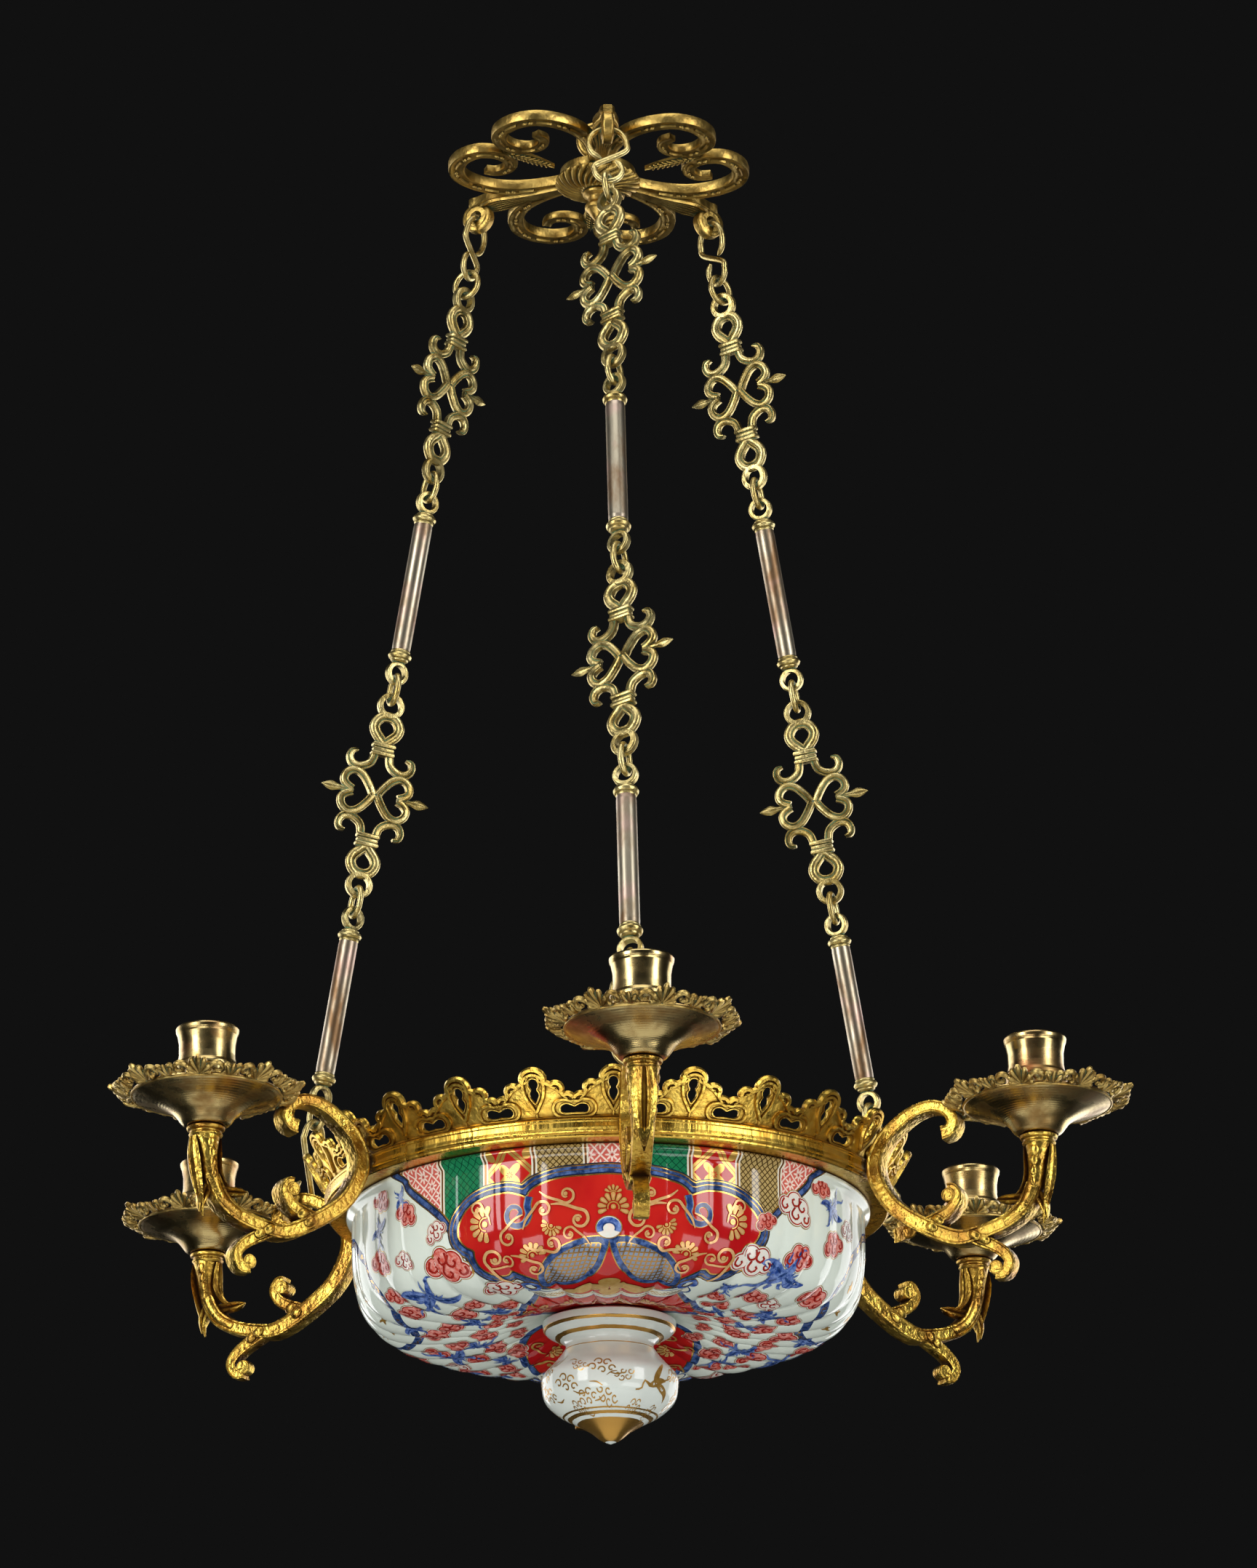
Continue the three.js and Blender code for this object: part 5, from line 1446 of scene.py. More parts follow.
    def girth(self, down: float) -> float:
        """The bowl's radius at a distance down its outside."""
        return float(np.interp(down, self.fall, self.outer[:, 0]))

    def mesh(self) -> Shape:
        """The bowl as a closed shell, its wall and bottom fluted, with how far down it each point lies."""
        bm = bmesh.new()
        down_layer = bm.verts.layers.float.new("down")
        edge, top = self.lip_radius, self.lip
        lip = [(self.radius - self.wall, top), (edge - 0.6, top), (edge, top - 0.6), (edge, top - 2.2),
               (edge - 0.8, top - 3.2), (self.radius + 0.2, top - 5), (self.radius, top - 6.5)]
        profile = lip + [tuple(p) for p in self.outer] + [tuple(p) for p in self.inner[::-1]] + [lip[0]]
        turn_profile(bm, profile, self.columns, start=pi / 2)
        bmesh.ops.remove_doubles(bm, verts=bm.verts, dist=WELD)
        shells = np.vstack([self.outer, self.inner])
        inner_dips = np.interp(self.inner[:, 0], [44, 62, 100, 128, 133], [0, 1.2, 1.8, 1.1, 0.6])
        for vert in bm.verts:
            r, z = hypot(vert.co.x, vert.co.y), vert.co.z
            azimuth = degrees(atan2(vert.co.x, -vert.co.y))
            near = int(np.argmin(np.hypot(shells[:, 0] - r, shells[:, 1] - z)))
            if z > self.wall_top + 0.5:
                vert[down_layer] = self.band - z if r > self.radius - 2 else INSIDE
            elif near < len(self.outer):
                vert[down_layer] = self.fall[near]
                vert.co = self.skin(azimuth, self.fall[near], 0)
            else:
                vert[down_layer] = INSIDE
                i = near - len(self.outer)
                ahead = self.inner[min(i + 1, len(self.inner) - 1)] - self.inner[max(i - 1, 0)]
                ahead /= np.linalg.norm(ahead)
                deep = self.dip(azimuth) * inner_dips[i]
                vert.co.x -= vert.co.x / r * -ahead[1] * deep
                vert.co.y -= vert.co.y / r * -ahead[1] * deep
                vert.co.z -= ahead[0] * deep
        self.mark(bm)
        return shape(bm)

    def mark(self, bm: Mesh) -> None:
        """Writes on each point how far it is from each painted outline, negative inside it."""
        outlines = {"cartouche": self.cartouche, "brocade": self.brocade, "foot_panel": self.foot_panel,
                    "hem": self.hem, "diamond": self.diamond, "side": self.side,
                    "leaf": (self.leaf + (self.leaf[0],),)}
        for name in outlines:
            bm.verts.layers.float.new(name)
        down_layer = bm.verts.layers.float["down"]
        verts = list(bm.verts)
        downs = np.array([vert[down_layer] for vert in verts])
        azimuths = np.degrees([atan2(vert.co.x, -vert.co.y) for vert in verts]) - self.front
        offset = np.abs((azimuths + 90) % 180 - 90)
        for name, runs in outlines.items():
            layer = bm.verts.layers.float[name]
            rows = np.vstack([flow(run, 60) for run in runs])
            across = 90 - offset if name == "side" else offset
            if name != "leaf":
                rows = np.vstack([rows, (rows * [-1, 1])[::-1]])
            fields = self.signed(across, downs, rows)
            fields[downs < -1] = UNPAINTED
            for vert, value in zip(verts, fields):
                vert[layer] = float(value)

    def signed(self, across: np.ndarray, downs: np.ndarray, line: np.ndarray) -> np.ndarray:
        """Distance in millimetres from each place to a closed line, negative inside it.

        Args:
            across: degrees from the panel's middle.
            downs: millimetres down the outside.
            line: the line's points, in the same two measures.

        Returns:
            The distances.
        """
        def stand(az: np.ndarray, down: np.ndarray) -> np.ndarray:
            r = np.interp(down, self.fall, self.outer[:, 0])
            z = np.where(down < self.fall[0], self.band - down, np.interp(down, self.fall, self.outer[:, 1]))
            return np.column_stack([r * np.sin(np.radians(az)), r * np.cos(np.radians(az)), z])

        fine = np.vstack([np.linspace(a, b, 5, endpoint=False) for a, b in zip(line, np.roll(line, -1, axis=0))])
        marks, places = stand(fine[:, 0], fine[:, 1]), stand(across, downs)
        tree = KDTree(len(marks))
        for i, mark in enumerate(marks):
            tree.insert(mark, i)
        tree.balance()
        nearest = np.array([tree.find(place)[2] for place in places])
        inside = np.zeros(len(across), dtype=bool)
        for (x0, y0), (x1, y1) in zip(line, np.roll(line, -1, axis=0)):
            if y0 == y1:
                continue
            crosses = (downs >= min(y0, y1)) & (downs < max(y0, y1))
            inside ^= crosses & (across < x0 + (downs - y0) * (x1 - x0) / (y1 - y0))
        return np.where(inside, -nearest, nearest)

    def paint(self, shop: Shop) -> None:
        """Paints the motifs: clouds and birds on the white, tendrils and half flowers on the red, rings and loops."""
        brush = Brush(self.skin, self.girth)
        # Azimuth from the panel's middle, way down, size, and whether the cloud is filled.
        clouds = [
            (-60, 10, 0.95, 1), (-50, 23, 0.95, 1), (-41, 37, 0.8, 0), (-62, 43, 1.0, 1), (-52.5, 47, 0.75, 0),
            (-40, 56, 1.45, 1), (-63, 63, 0.8, 1), (-66, 77, 1.05, 1), (-29.5, 79, 1.2, 0), (-57, 99, 1.15, 1),
            (-45, 92, 0.8, 1), (-38, 103, 0.95, 1), (-74, 104, 1.0, 1), (-86, 98, 1.1, 1), (-52, 121, 1.0, 1),
            (-70, 126, 0.9, 1), (-88, 122, 0.9, 1), (-62, 140, 0.75, 1), (-84, 141, 0.7, 1),
            (54, 9, 0.85, 1), (45, 25, 1.25, 0), (36.5, 35, 0.7, 1), (59.5, 37, 1.05, 1), (66, 26, 0.8, 0),
            (35, 57, 1.3, 0), (48, 50, 1.1, 1), (61.5, 69, 1.2, 1), (44, 83, 1.0, 1), (53, 87, 0.9, 0),
            (33, 92, 0.8, 1), (72, 92, 1.0, 1), (40, 104, 0.9, 1), (58, 107, 1.0, 1), (80, 108, 1.0, 1),
            (66, 124, 0.95, 1), (86, 126, 0.85, 1), (52, 128, 0.9, 1), (74, 141, 0.75, 1)]
        # Azimuth, way down, turn and size.
        birds = [
            (-53, 73, 8, 1.15), (-61, 26, 60, 0.55), (-46, 108, 150, 0.6), (-64, 112, 20, 0.8), (-80, 84, 200, 0.6),
            (44.5, 62, 20, 1.15), (58.5, 18, 200, 0.7), (33, 80, 90, 0.45), (64, 98, 190, 0.9), (-52, 13, 100, 0.4),
            (76, 118, 60, 0.6), (48, 115, 10, 0.6)]
        wisps = [
            (79, 36), (74, 52), (86, 48), (92, 60), (80, 66), (96, 42), (101, 54), (90, 74), (85, 30), (98, 68)]
        for half in (0, 180):
            middle = self.front + half
            for azimuth, down, size, filled in clouds:
                tilt = 31 * (azimuth + down) % 60 - 30
                brush.at(middle + azimuth, down, tilt, self.cloud_scale * size).cloud(bool(filled))
            for azimuth, down, turn, size in birds:
                brush.at(middle + azimuth, down, turn, self.bird_scale * size).bird()
            for azimuth, down in wisps:
                brush.at(middle + azimuth, down, 40 * azimuth % 360, 1.0)
                brush.stroke(Paint.GILT_EDGE, [(-3.4, -1, 0.2), (-1, 0.6, 0.9), (1.2, 0.2, 0.8), (3.6, 1.8, 0.15)], 6)
                brush.stroke(Paint.GILT_EDGE, [(-0.6, -3, 0.15), (0.2, -0.6, 0.8), (0, 2.4, 0.2)], 6)
            self.tendrils(brush, middle)
        brush.finish(shop, "bowl")

    def tendrils(self, brush: Brush, middle: float) -> None:
        """The gold and blue work of one panel, the same left and right."""
        brush.at(middle + 1, 34).fan(9, 215, 8.2)
        brush.at(middle + 1, 27, 0, 0.8).fan(5, 120, 6.2)
        for hand in (1, -1):
            for azimuth, down, turn, reach in ((27.5, 38, -82, 9.4), (12.5, 42, 205, 5.6), (17.5, 57, -15, 7.2)):
                brush.at(middle + hand * azimuth, down, hand * turn).fan(8, 190, reach)
            for azimuth, down, turn, size, way in (
                    (9, 26.5, 30, 1.0, 1), (6.4, 39.5, 190, 1.15, -1), (22.6, 46.5, 150, 1.0, 1),
                    (27, 56.5, 60, 1.2, -1), (12.6, 51.5, 20, 1.0, 1), (17.8, 65, 200, 1.0, -1),
                    (14.2, 33.5, 120, 1.0, -1), (29.5, 29.5, 250, 0.8, 1), (24, 58.5, 10, 0.8, 1),
                    (8.6, 46.8, 230, 0.8, 1)):
                brush.at(middle + hand * azimuth, down, hand * turn, self.tendril_scale * size)
                brush.scroll(hand * way, Paint.PALE, 0.5)
            # The blue volute that rolls in from the panel's upper notch.
            brush.at(middle + hand * 20.4, 34.6)
            roll = [(-7.6, 8.4), (-6.6, 3.6), (-7.2, -1), (-4.6, -5.2), (0, -6.2), (4.2, -3.6), (4.8, 0.8),
                    (2.2, 3.8), (-1.4, 3.2), (-2.8, 0.4), (-0.8, -1.8)]
            for paint, half in ((Paint.GILT_EDGE, 2.3), (Paint.BLUE_WASH, 1.8), (Paint.BLUE, 1.25)):
                brush.stroke(paint, [(hand * x, y, half * (1 - 0.05 * i)) for i, (x, y) in enumerate(roll)], 44)
            # The loop beside the leaf's foot.
            brush.at(middle + hand * 21.4, 80)
            loop = [(4.4 * cos(t), 4.0 * sin(t)) for t in np.linspace(0, tau, 13)]
            for paint, half in ((Paint.GILT_EDGE, 1.5), (Paint.BLUE_WASH, 1.15)):
                brush.stroke(paint, [(x, y, half) for x, y in loop], 26)
        brush.at(middle, 44)
        for paint, radius in ((Paint.GILT_EDGE, 7.0), (Paint.PALE_WASH, 6.4)):
            brush.dot(paint, 0, 0, radius, 0.86)
        for paint, reach, half in ((Paint.BLUE_WASH, 5.0, 1.4), (Paint.BLUE, 3.4, 0.4)):
            turns = np.linspace(-0.4, pi + 0.4, 9)
            brush.stroke(paint, [(reach * cos(t), 0.86 * reach * sin(t) - 0.6, half) for t in turns], 24)
        brush.at(middle, 85)
        for x, y, radius in ((0, 5.6, 5.8), (-12, -3.4, 6.6), (12, -3.4, 6.6), (-20, -4.4, 3.8), (20, -4.4, 3.8),
                             (-5, -1, 4.8), (5, -1, 4.8), (0, -8, 5.6)):
            brush.dot(Paint.GOLD, x, y, radius, 0.86)
        brush.dot(Paint.CURL, 0, 0, 1.5)
        for down in (118, 134, 148):
            for azimuth in (-34, 0, 34) if down > 120 else (-16, 16):
                brush.at(middle + azimuth, down, azimuth * 3 % 360, 1.1).fan(7, 180, 6.0)
                brush.at(middle + azimuth + 12, down + 4, azimuth * 5 % 360, 1.2).scroll(1)
                brush.at(middle + azimuth - 12, down - 2, azimuth * 7 % 360, 1.2).scroll(-1)

    def build(self, shop: Shop) -> None:
        """Makes the bowl and its painting."""
        glaze = [shop.finishes.porcelain]
        shop.piece("fluted_bowl", self.mesh(), "bowl_frame", glaze, ["bowl"], sharp=60)
        self.paint(shop)


@dataclass
class Finial:
    """The porcelain finial under the bowl, with gold clouds and a crane."""

    top: float = -715.4
    height: float = 68.3
    flange: float = 36.0
    neck: float = 23.5
    bulb: float = 36.6

    def __post_init__(self) -> None:
        """Keeps the outline from the tip up, to lay the painting on."""
        self.rising = np.array(self.profile()[::-1])

    def profile(self) -> list[tuple[float, float]]:
        """The turned outline from the top to the tip."""
        def z(share: float) -> float:
            return self.top - self.height * share

        body = flow([(self.flange * 0.93, z(0.12)), (self.neck + 3, z(0.17)), (self.neck, z(0.22)),
                     (self.neck + 2.4, z(0.29)), (self.bulb * 0.83, z(0.37)), (self.bulb * 0.98, z(0.46)),
                     (self.bulb, z(0.54)), (self.bulb * 0.95, z(0.66)), (self.bulb * 0.76, z(0.76)),
                     (self.bulb * 0.52, z(0.83)), (self.bulb * 0.3, z(0.9)), (self.bulb * 0.15, z(0.965)),
                     (0.6, z(0.998))], 80)
        head = fillet([(0, self.top, 0), (self.flange * 0.86, self.top, 1), (self.flange, z(0.03), 0.8),
                       (self.flange * 0.99, z(0.09), 0.8), (self.flange * 0.93, z(0.12), 0)])
        return head + [tuple(p) for p in body[1:]] + [(0, z(1))]

    def skin(self, azimuth: float, down: float, lift: float) -> Vector:
        """A point over the bulb, at an azimuth in degrees and millimetres under the top."""
        r = float(np.interp(self.top - down, self.rising[:, 1], self.rising[:, 0])) + lift
        turn = radians(azimuth)
        return Vector((r * sin(turn), -r * cos(turn), self.top - down))

    def paint(self, shop: Shop) -> None:
        """Gold cloud scrolls round the bulb, and a crane that flies among them on each side."""
        brush = Brush(self.skin, lambda down: self.bulb)
        for half in (0, 180):
            for azimuth, down, turn, size in (
                    (-11, 35, 0, 0.8), (-6, 48.5, 160, 0.75), (-27, 50, 20, 0.7), (-42, 54, 0, 0.6),
                    (-45, 42, -10, 0.85), (8, 38, 200, 0.6), (62, 36, 30, 0.75), (24, 54, 10, 0.6),
                    (-64, 33, 60, 0.7), (-72, 46, 0, 0.75), (76, 47, 120, 0.7), (90, 37, 0, 0.7),
                    (-30, 32, 170, 0.55), (52, 55, 0, 0.55)):
                brush.at(half + azimuth, down, turn, 1.3 * size).gilt_cloud()
            brush.at(half + 38, 43, 8, 0.95)
            for rows in ([(-13, -1.4, 0.35), (-9.4, -1.2, 0.5), (-8.4, 1.4, 0.5), (-6.8, 3.0, 0.6), (-4, 0.4, 1.0),
                          (0, 1.2, 2.2), (4.6, 2.6, 1.6), (8.4, 2.4, 0.4)],
                         [(0, 1.6, 1.6), (1.6, 5.4, 1.9), (4.8, 9.4, 1.3), (8.8, 12.4, 0.2)],
                         [(1, 0.8, 1.4), (5.2, -1.6, 1.9), (9.6, -4.8, 1.2), (12.6, -8.8, 0.2)],
                         [(6, 2.6, 0.3), (11.4, 3.6, 0.4), (15.6, 6.2, 0.15)]):
                brush.stroke(Paint.GILT_EDGE, rows, 12)
        brush.finish(shop, "finial")

    def build(self, shop: Shop) -> None:
        """Makes the finial and its painting."""
        bm = bmesh.new()
        turn_profile(bm, self.profile(), 120)
        shop.piece("banded_finial", shape(bm), "bowl_frame", [shop.finishes.banded],
                   ["porcelain_finial"])
        self.paint(shop)


# ---------------------------------------------------------------- lights


@dataclass
class Light:
    """One arm with its drip pan and candle cup, drawn over -Y and repeated round the bowl."""

    mouth: float = -594.3
    radius: float = 250.0
    count: int = 6

    def stand(self, r: float, z: float) -> Vector:
        """A point of the arm's plane, its height from the cup's mouth."""
        return Vector((0, -r, self.mouth + z))

    def rows(self, points: Points, steps: int) -> np.ndarray:
        """Sweep rows of a strap in the arm's plane."""
        return planar(points, steps, self.stand)

    def arm(self) -> Shape:
        """The arm: neck, stem, strap scroll, curls and leaves."""
        bm = bmesh.new()
        side = 5.2
        collar = [(0, 0, 0), (9.4, 0, 0.4), (10, -0.8, 0.6), (9.6, -2, 0.5), (8.2, -2.6, 0.4), (8, -3.6, 0.5),
                  (9, -4.4, 0.5), (7.6, -6, 1), (0, -6, 0)]
        turn_profile(bm, fillet(collar), 48, Z, self.stand(self.radius, -53))
        neck = [(250.4, -58, 7.6, 8.2), (250, -64, 6.4, 7.6), (249.4, -72, 5.6, 7.0), (247.6, -80, 5.0, 6.4),
                (241.5, -91, 4.4, 5.8), (231, -98, 4.0, side)]
        sweep(bm, self.rows(neck, 30), round_section(16), X)
        strap = [(247.6, -80, 4.0), (241.5, -91, 4.2), (231, -98, 4), (215, -102.2, 3.9), (203, -102.6, 4.2),
                 (187, -95, 4.4), (170, -83, 4.4), (161, -70, 4.4), (158, -57.5, 4.4), (162.5, -46, 4.1),
                 (171.4, -37.5, 3.8), (181.5, -31.6, 3.5), (191.5, -29.8, 3.3), (199.8, -32.8, 3.3),
                 (203.6, -38.8, 3.5), (201.8, -44.2, 3.8), (197.2, -45.4, 4.0)]
        sweep(bm, self.rows([(r, z, w, side) for r, z, w in strap], 110), CHANNEL, X)
        inner = [(188, -93, 3.4), (199.4, -88.3, 3.2), (204.6, -81.5, 3), (202.4, -76.4, 3), (199.4, -76, 3)]
        sweep(bm, self.rows([(r, z, w, side) for r, z, w in inner], 30), CHANNEL, X)
        drum(bm, self.stand(199.8, -79.4), X, 3.9, 10.8)
        hanging = [
            (212, -103, 3.8), (226.5, -111.4, 3.2), (232.2, -118.4, 3), (229.4, -124.6, 2.9), (224.4, -124.8, 3)]
        sweep(bm, self.rows([(r, z, w, 4.0) for r, z, w in hanging], 36), CHANNEL, X)
        drum(bm, self.stand(224.6, -121.4), X, 4.0, 8.0)
        outer = [(257.6, -59, 3.6, 1.4), (257.2, -66, 5.8, 2.0), (256, -74, 6.4, 2.5), (254.4, -82, 5.4, 2.5),
                 (252.8, -89, 3.6, 2.1), (251.6, -95, 1.9, 1.5), (250.8, -100.5, 0.4, 0.5)]
        sweep(bm, self.rows(outer, 30), LEAF, -Y)
        inside = [(242.6, -59, 3.2, 1.4), (243.2, -66, 5.0, 1.9), (243.2, -74, 5.4, 2.2), (240.6, -80.5, 4.2, 2.0),
                  (236, -84.6, 2.6, 1.7), (229.5, -86.4, 0.5, 0.6)]
        sweep(bm, self.rows(inside, 26), LEAF, Y)
        for hand in Hand:
            for k in range(4):
                at = self.stand(250 - 0.7 * k, -62.5 - 5.4 * k) + X * hand.value * (7.2 - 0.45 * k)
                bead(bm, at, (1.3, 2.5 - 0.3 * k, 3.3 - 0.2 * k), None, 10)
            for r, z, out in ((214, -103.2, 5.0), (190, -95.5, 5.0), (219, -105.6, 4.2), (194, -92, 4.6)):
                bead(bm, self.stand(r, z) + X * hand.value * out, (1.5, 3.6, 2.6), Matrix.Rotation(0.6, 4, "X"), 10)
        for r, z in ((216.5, -103.8), (191.5, -91.5)):
            bead(bm, self.stand(r, z), (5.6, 3.4, 3.0), Matrix.Rotation(0.6, 4, "X"), 12)
        for leaf in ([(247, -82, 3, 3), (250.6, -88, 2.8, 3.4), (252.2, -93, 2, 2.6), (252.8, -98.5, 0.4, 0.5)],
                     [(241, -86, 2.8, 3), (234, -85.6, 2.6, 3.4), (229, -85, 2, 2.6), (225.4, -84.2, 0.4, 0.5)]):
            sweep(bm, self.rows([(r, z, w, h) for r, z, w, h in leaf], 16), RIDGES, X)
        return shape(bm)

    def pan(self) -> Shape:
        """The turned dish and its border of palmettes."""
        bm = bmesh.new()
        low, edge = -52.7, -37.2
        under = flow([(10, low), (12.6, low + 1.2), (17.4, low + 7), (24, low + 10.8), (31, low + 13.2),
                      (37.8, edge)], 24)
        upper = flow([(38.6, edge + 2.2), (33, edge + 3.4), (26, edge + 5.6), (19, edge + 9.4), (15, edge + 9.9)], 16)
        profile = [(5.3, low), (9.6, low), *[tuple(p) for p in under], (38.6, edge + 0.4), *[tuple(p) for p in upper],
                   (5.3, edge + 9.9), (5.3, low)]
        turn_profile(bm, profile, 96, Z, self.stand(self.radius, 0))
        dish = len(bm.faces)
        wire = [(38.7 + 0.8 * cos(t), edge + 0.7 + 0.8 * sin(t)) for t in np.linspace(0, tau, 9)]
        turn_profile(bm, wire, 96, Z, self.stand(self.radius, 0))
        for i in range(8):
            turn = Matrix.Rotation((i + 0.22) * pi / 4, 3, "Z")

            def out(r: float, across: float) -> Vector:
                rise = 6.2 * (max(r - 39, 0) / 12) ** 1.15
                return self.stand(self.radius, edge + 1.4 + rise) + turn @ Vector((r, across, 0))

            def strip(points: Points, steps: int) -> None:
                rows = flow(points, steps)
                sweep(bm, np.array([[*out(r, a), w, w * 1.1] for r, a, w in rows]), round_section(8), Z)

            for k in range(-3, 4):
                spread, long = radians(k * 25), 12.0 - 1.1 * abs(k)
                strip([(38.8 + long * t * cos(spread), long * t * sin(spread) * 0.8, w)
                       for t, w in ((0.1, 0.8), (0.4, 1.1), (0.7, 1.6), (0.9, 1.6), (1, 0.9))], 9)
            bead(bm, out(43.4, 0) + Z * 0.9, (1.9, 1.9, 1.5))
            for hand in Hand:
                for curl, steps in (
                        ([(39.6, 4.2, 0.9), (42.4, 5.2, 1.15), (45.2, 6.8, 1.3), (46.4, 9.2, 1.35), (45.2, 11.6, 1.25),
                          (42.6, 11.9, 1.15), (41.3, 10.2, 1.0), (42.0, 8.6, 0.9), (43.6, 8.8, 1.0)], 26),
                        ([(39.4, 11.6, 0.9), (41.6, 13.8, 1.0), (44.2, 13.6, 1.05), (45.2, 15.0, 1.0),
                          (44.0, 16.2, 0.9), (42.9, 15.2, 0.9)], 16)):
                    strip([(r, across * hand.value, w) for r, across, w in curl], steps)
            leaf = Matrix.Rotation(pi / 8, 3, "Z")
            for k in (-1, 0, 1):
                long = 9.2 - abs(k) * 1.6
                ahead = [leaf @ Vector((39.4 + long * t, k * 3.6 * t, 0)) for t in (0.1, 0.45, 0.8, 1)]
                strip([(at.x, at.y, w) for at, w in zip(ahead, (0.8, 1.2, 1.3, 0.4))], 8)
        for face in list(bm.faces)[dish:]:
            face.material_index = 1
        return shape(bm)

    def cup(self) -> Shape:
        """The candle cup with its spigot."""
        bm = bmesh.new()
        base = -27
        turn_profile(bm, fillet([
            (0, -52.4, 0), (5, -52.4, 0), (5, base, 0), (15.6, base, 0.3), (16.4, base + 1.4, 0.8),
            (16.0, base + 3.2, 0.4), (16.7, base + 4.8, 0.9), (16.3, base + 6.6, 0.6), (15.2, base + 8, 0.8),
            (14.6, base + 12, 4), (14.7, base + 18, 4), (15.6, base + 22.8, 2), (15.9, base + 23.3, 0.2),
            (16.3, base + 24.4, 0.5), (16.5, base + 26, 0.5), (15.8, 0, 0.5), (11.6, 0, 0.5), (11, -23, 0),
            (0, -23, 0)]), 72, Z, self.stand(self.radius, 0))
        return shape(bm)

    def build(self, shop: Shop) -> None:
        """Makes the six lights."""
        arm, pan, cup = self.arm(), self.pan(), self.cup()
        for i in range(self.count):
            turn = Matrix.Rotation(i * tau / self.count, 4, "Z")
            k = i + 1
            shop.piece(f"scroll_arm_{k}", arm, "bowl_frame", [shop.finishes.worn], [f"arm_{k}"], turn)
            shop.piece(f"leafed_pan_{k}", pan, "bowl_frame",
                       [shop.finishes.turned, shop.finishes.border], [f"drip_pan_{k}"], turn)
            shop.piece(f"waisted_cup_{k}", cup, f"candle_cup_{k}", [shop.finishes.turned],
                       [f"candle_cup_{k}"], turn)


# ---------------------------------------------------------------- studio


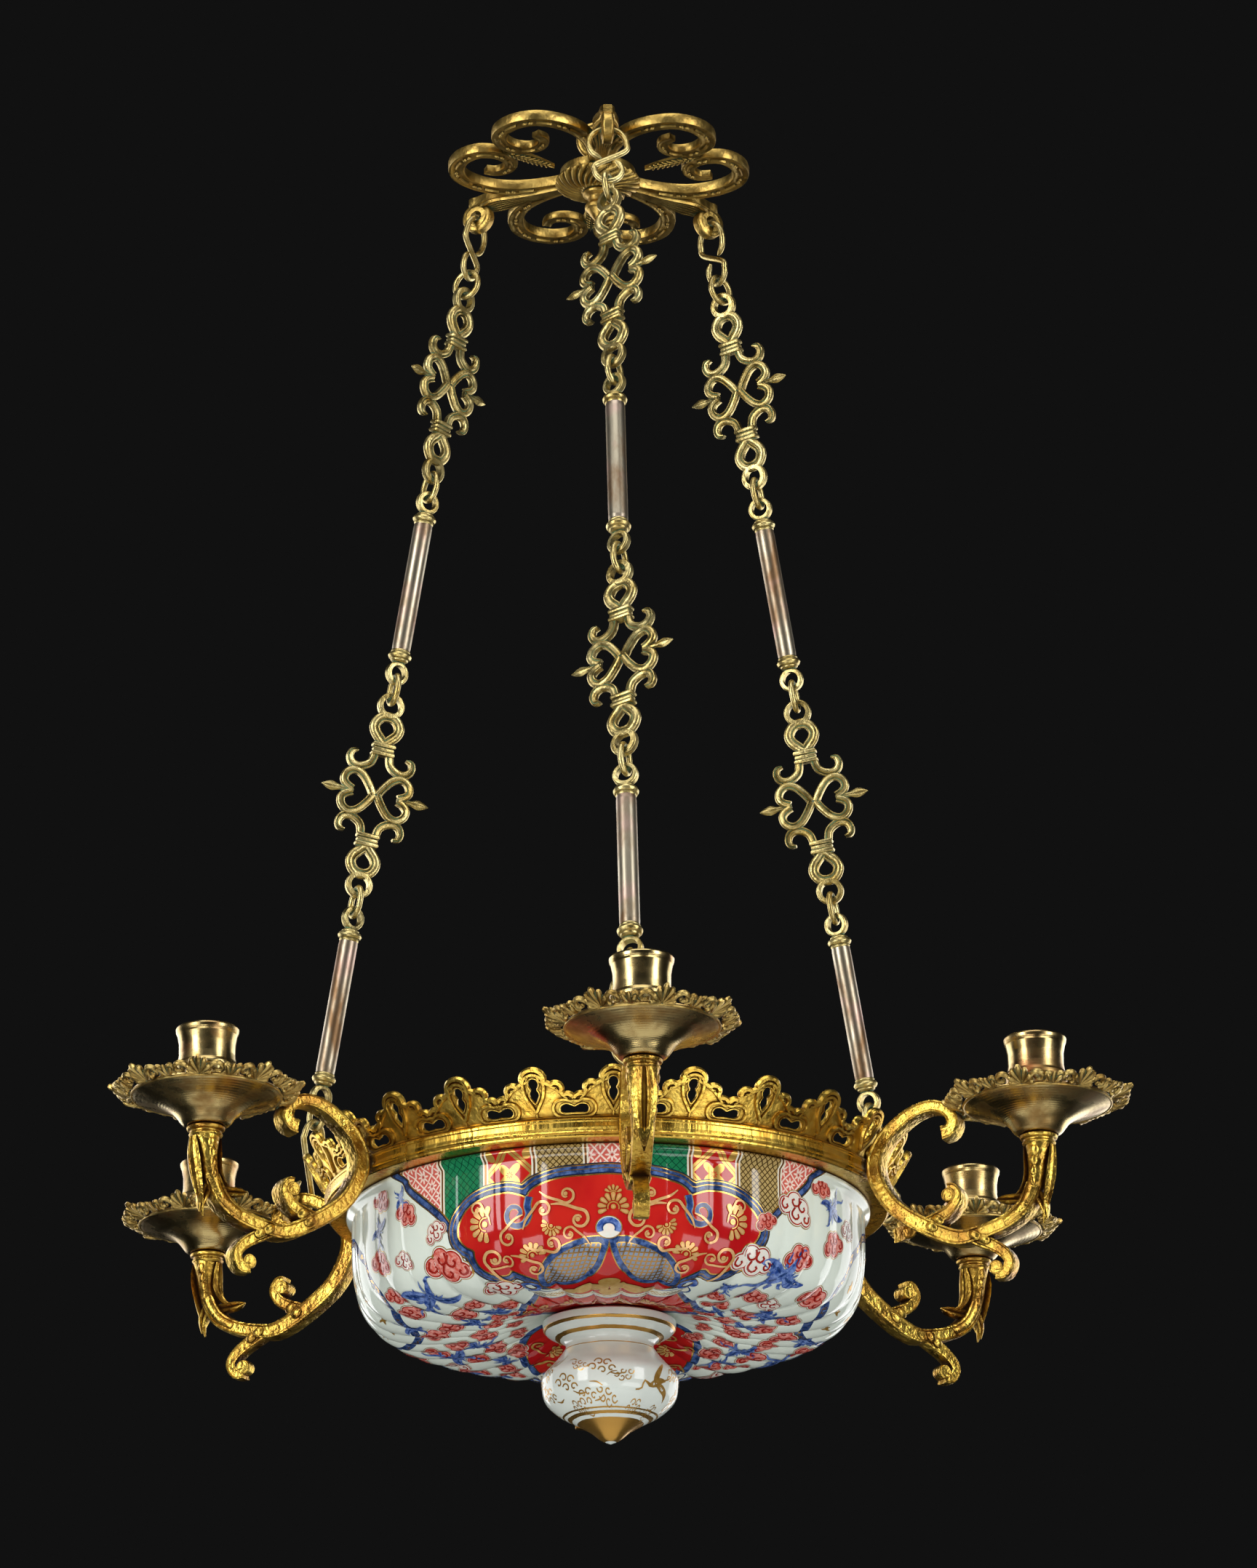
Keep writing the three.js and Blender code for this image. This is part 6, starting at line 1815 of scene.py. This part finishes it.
@dataclass
class Studio:
    """A plain studio with a dark backdrop, a pale floor and the camera at the photograph's angle."""

    floor_height: float = -2.45
    floor_radius: float = 1.1
    azimuth: float = -4.10
    distance: float = 2.675
    height: float = -1.4028
    heading: float = -4.393
    pitch: float = 20.384
    roll: float = -0.679
    lens: float = 146.55

    def camera(self) -> None:
        """The camera, where the photograph was taken from."""
        data = bpy.data.cameras.new("photo_camera")
        data.sensor_fit = "HORIZONTAL"
        data.sensor_width = 36
        data.lens = self.lens
        data.clip_start, data.clip_end = 0.05, 50
        camera = bpy.data.objects.new("photo_camera", data)
        turn = radians(self.azimuth)
        place = Matrix.Translation((self.distance * sin(turn), -self.distance * cos(turn), self.height))
        aim = (Matrix.Rotation(radians(self.heading), 4, "Z") @ Matrix.Rotation(radians(90 + self.pitch), 4, "X")
               @ Matrix.Rotation(radians(self.roll), 4, "Z"))
        camera.matrix_world = place @ aim
        bpy.context.scene.collection.objects.link(camera)
        bpy.context.scene.camera = camera

    def lamp(self, name: str, at: Vector, target: Vector, size: tuple[float, float], power: float) -> None:
        """A soft lamp of a width and a height that looks at a point."""
        data = bpy.data.lights.new(name, "AREA")
        data.shape, data.energy = "RECTANGLE", power
        data.size, data.size_y = size
        lamp = bpy.data.objects.new(name, data)
        lamp.visible_camera = False
        lamp.matrix_world = Matrix.Translation(at) @ (target - at).to_track_quat("-Z", "Y").to_matrix().to_4x4()
        bpy.context.scene.collection.objects.link(lamp)

    def world(self) -> None:
        """A near-black room, as the photograph's backdrop is, that lights the object softly from all round."""
        world = bpy.data.worlds.new("dark_backdrop")
        bpy.context.scene.world = world
        world.use_nodes = True
        tree = world.node_tree
        seen = add(tree, "LightPath")
        either = add(tree, "Math", {0: seen.outputs["Is Camera Ray"], 1: seen.outputs["Is Glossy Ray"]},
                     operation="MAXIMUM")
        any_ray = add(tree, "Math", {0: either, 1: seen.outputs["Is Transmission Ray"]}, operation="MAXIMUM")
        colour = add(tree, "Mix", {0: any_ray, 6: "#5c5c5c", 7: "#111111"}, data_type="RGBA")
        plug(tree, tree.nodes["Background"], {"Color": colour.outputs[2]})

    def floor(self) -> None:
        """A plain pale disc of floor, well under the chandelier."""
        bm = bmesh.new()
        bmesh.ops.create_circle(bm, cap_ends=True, segments=96, radius=self.floor_radius,
                                matrix=Matrix.Translation((0, 0, self.floor_height)))
        mesh = bpy.data.meshes.new("studio_floor")
        bm.to_mesh(mesh)
        bm.free()
        floor = bpy.data.objects.new("studio_floor", mesh)
        bpy.context.scene.collection.objects.link(floor)
        material, tree, shader, place = start_material("pale_studio_floor")
        tone = add(tree, "TexNoise", {"Vector": place, "Scale": 3.0, "Detail": 2})
        paint = add(tree, "Mix", {0: tone, 6: "#f2f1ee", 7: "#edece9"}, data_type="RGBA")
        plug(tree, shader, {"Base Color": paint.outputs[2], "Roughness": 0.9})
        mesh.materials.append(material)

    def build(self) -> None:
        """Sets up the room, its lamps and the camera."""
        self.camera()
        self.world()
        self.floor()
        middle = Vector((0, 0, -0.5))
        for name, azimuth, reach, height, size, power in (
                ("left_lamp", -50, 2.1, -0.1, (0.7, 1.9), 31.0),
                ("right_lamp", 46, 2.2, 0.0, (0.7, 1.9), 27.0),
                ("low_left_lamp", -26, 2.0, -2.0, (1.2, 0.9), 13.0),
                ("low_right_lamp", 36, 2.0, -1.9, (1.2, 0.9), 11.0),
                ("back_left_lamp", -138, 2.2, -0.3, (1.8, 1.8), 26.0),
                ("back_right_lamp", 136, 2.2, -0.5, (1.8, 1.8), 24.0),
                ("top_lamp", -10, 0.9, 1.5, (1.5, 1.5), 18.0)):
            turn = radians(azimuth)
            self.lamp(name, Vector((reach * sin(turn), -reach * cos(turn), height)), middle, size, power)
        bpy.context.scene.view_settings.view_transform = "Standard"


def main() -> None:
    """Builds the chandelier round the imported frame, in order from the ceiling down."""
    logging.basicConfig(level=logging.INFO, format="%(name)s: %(message)s")
    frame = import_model()
    studio = Studio()
    studio.build()
    shop = Shop(frame, Finishes())
    CeilingMount().build(shop)
    ChainMaker().build(shop)
    Rim().build(shop)
    Bowl().build(shop)
    Finial().build(shop)
    Light().build(shop)
    bolt = frame["nodes"]["tie_bolt"]
    bolt.data.materials.clear()
    bolt.data.materials.append(shop.finishes.iron)
    LOG.info("%d pieces", len(shop.made))


if __name__ == "__main__":
    main()
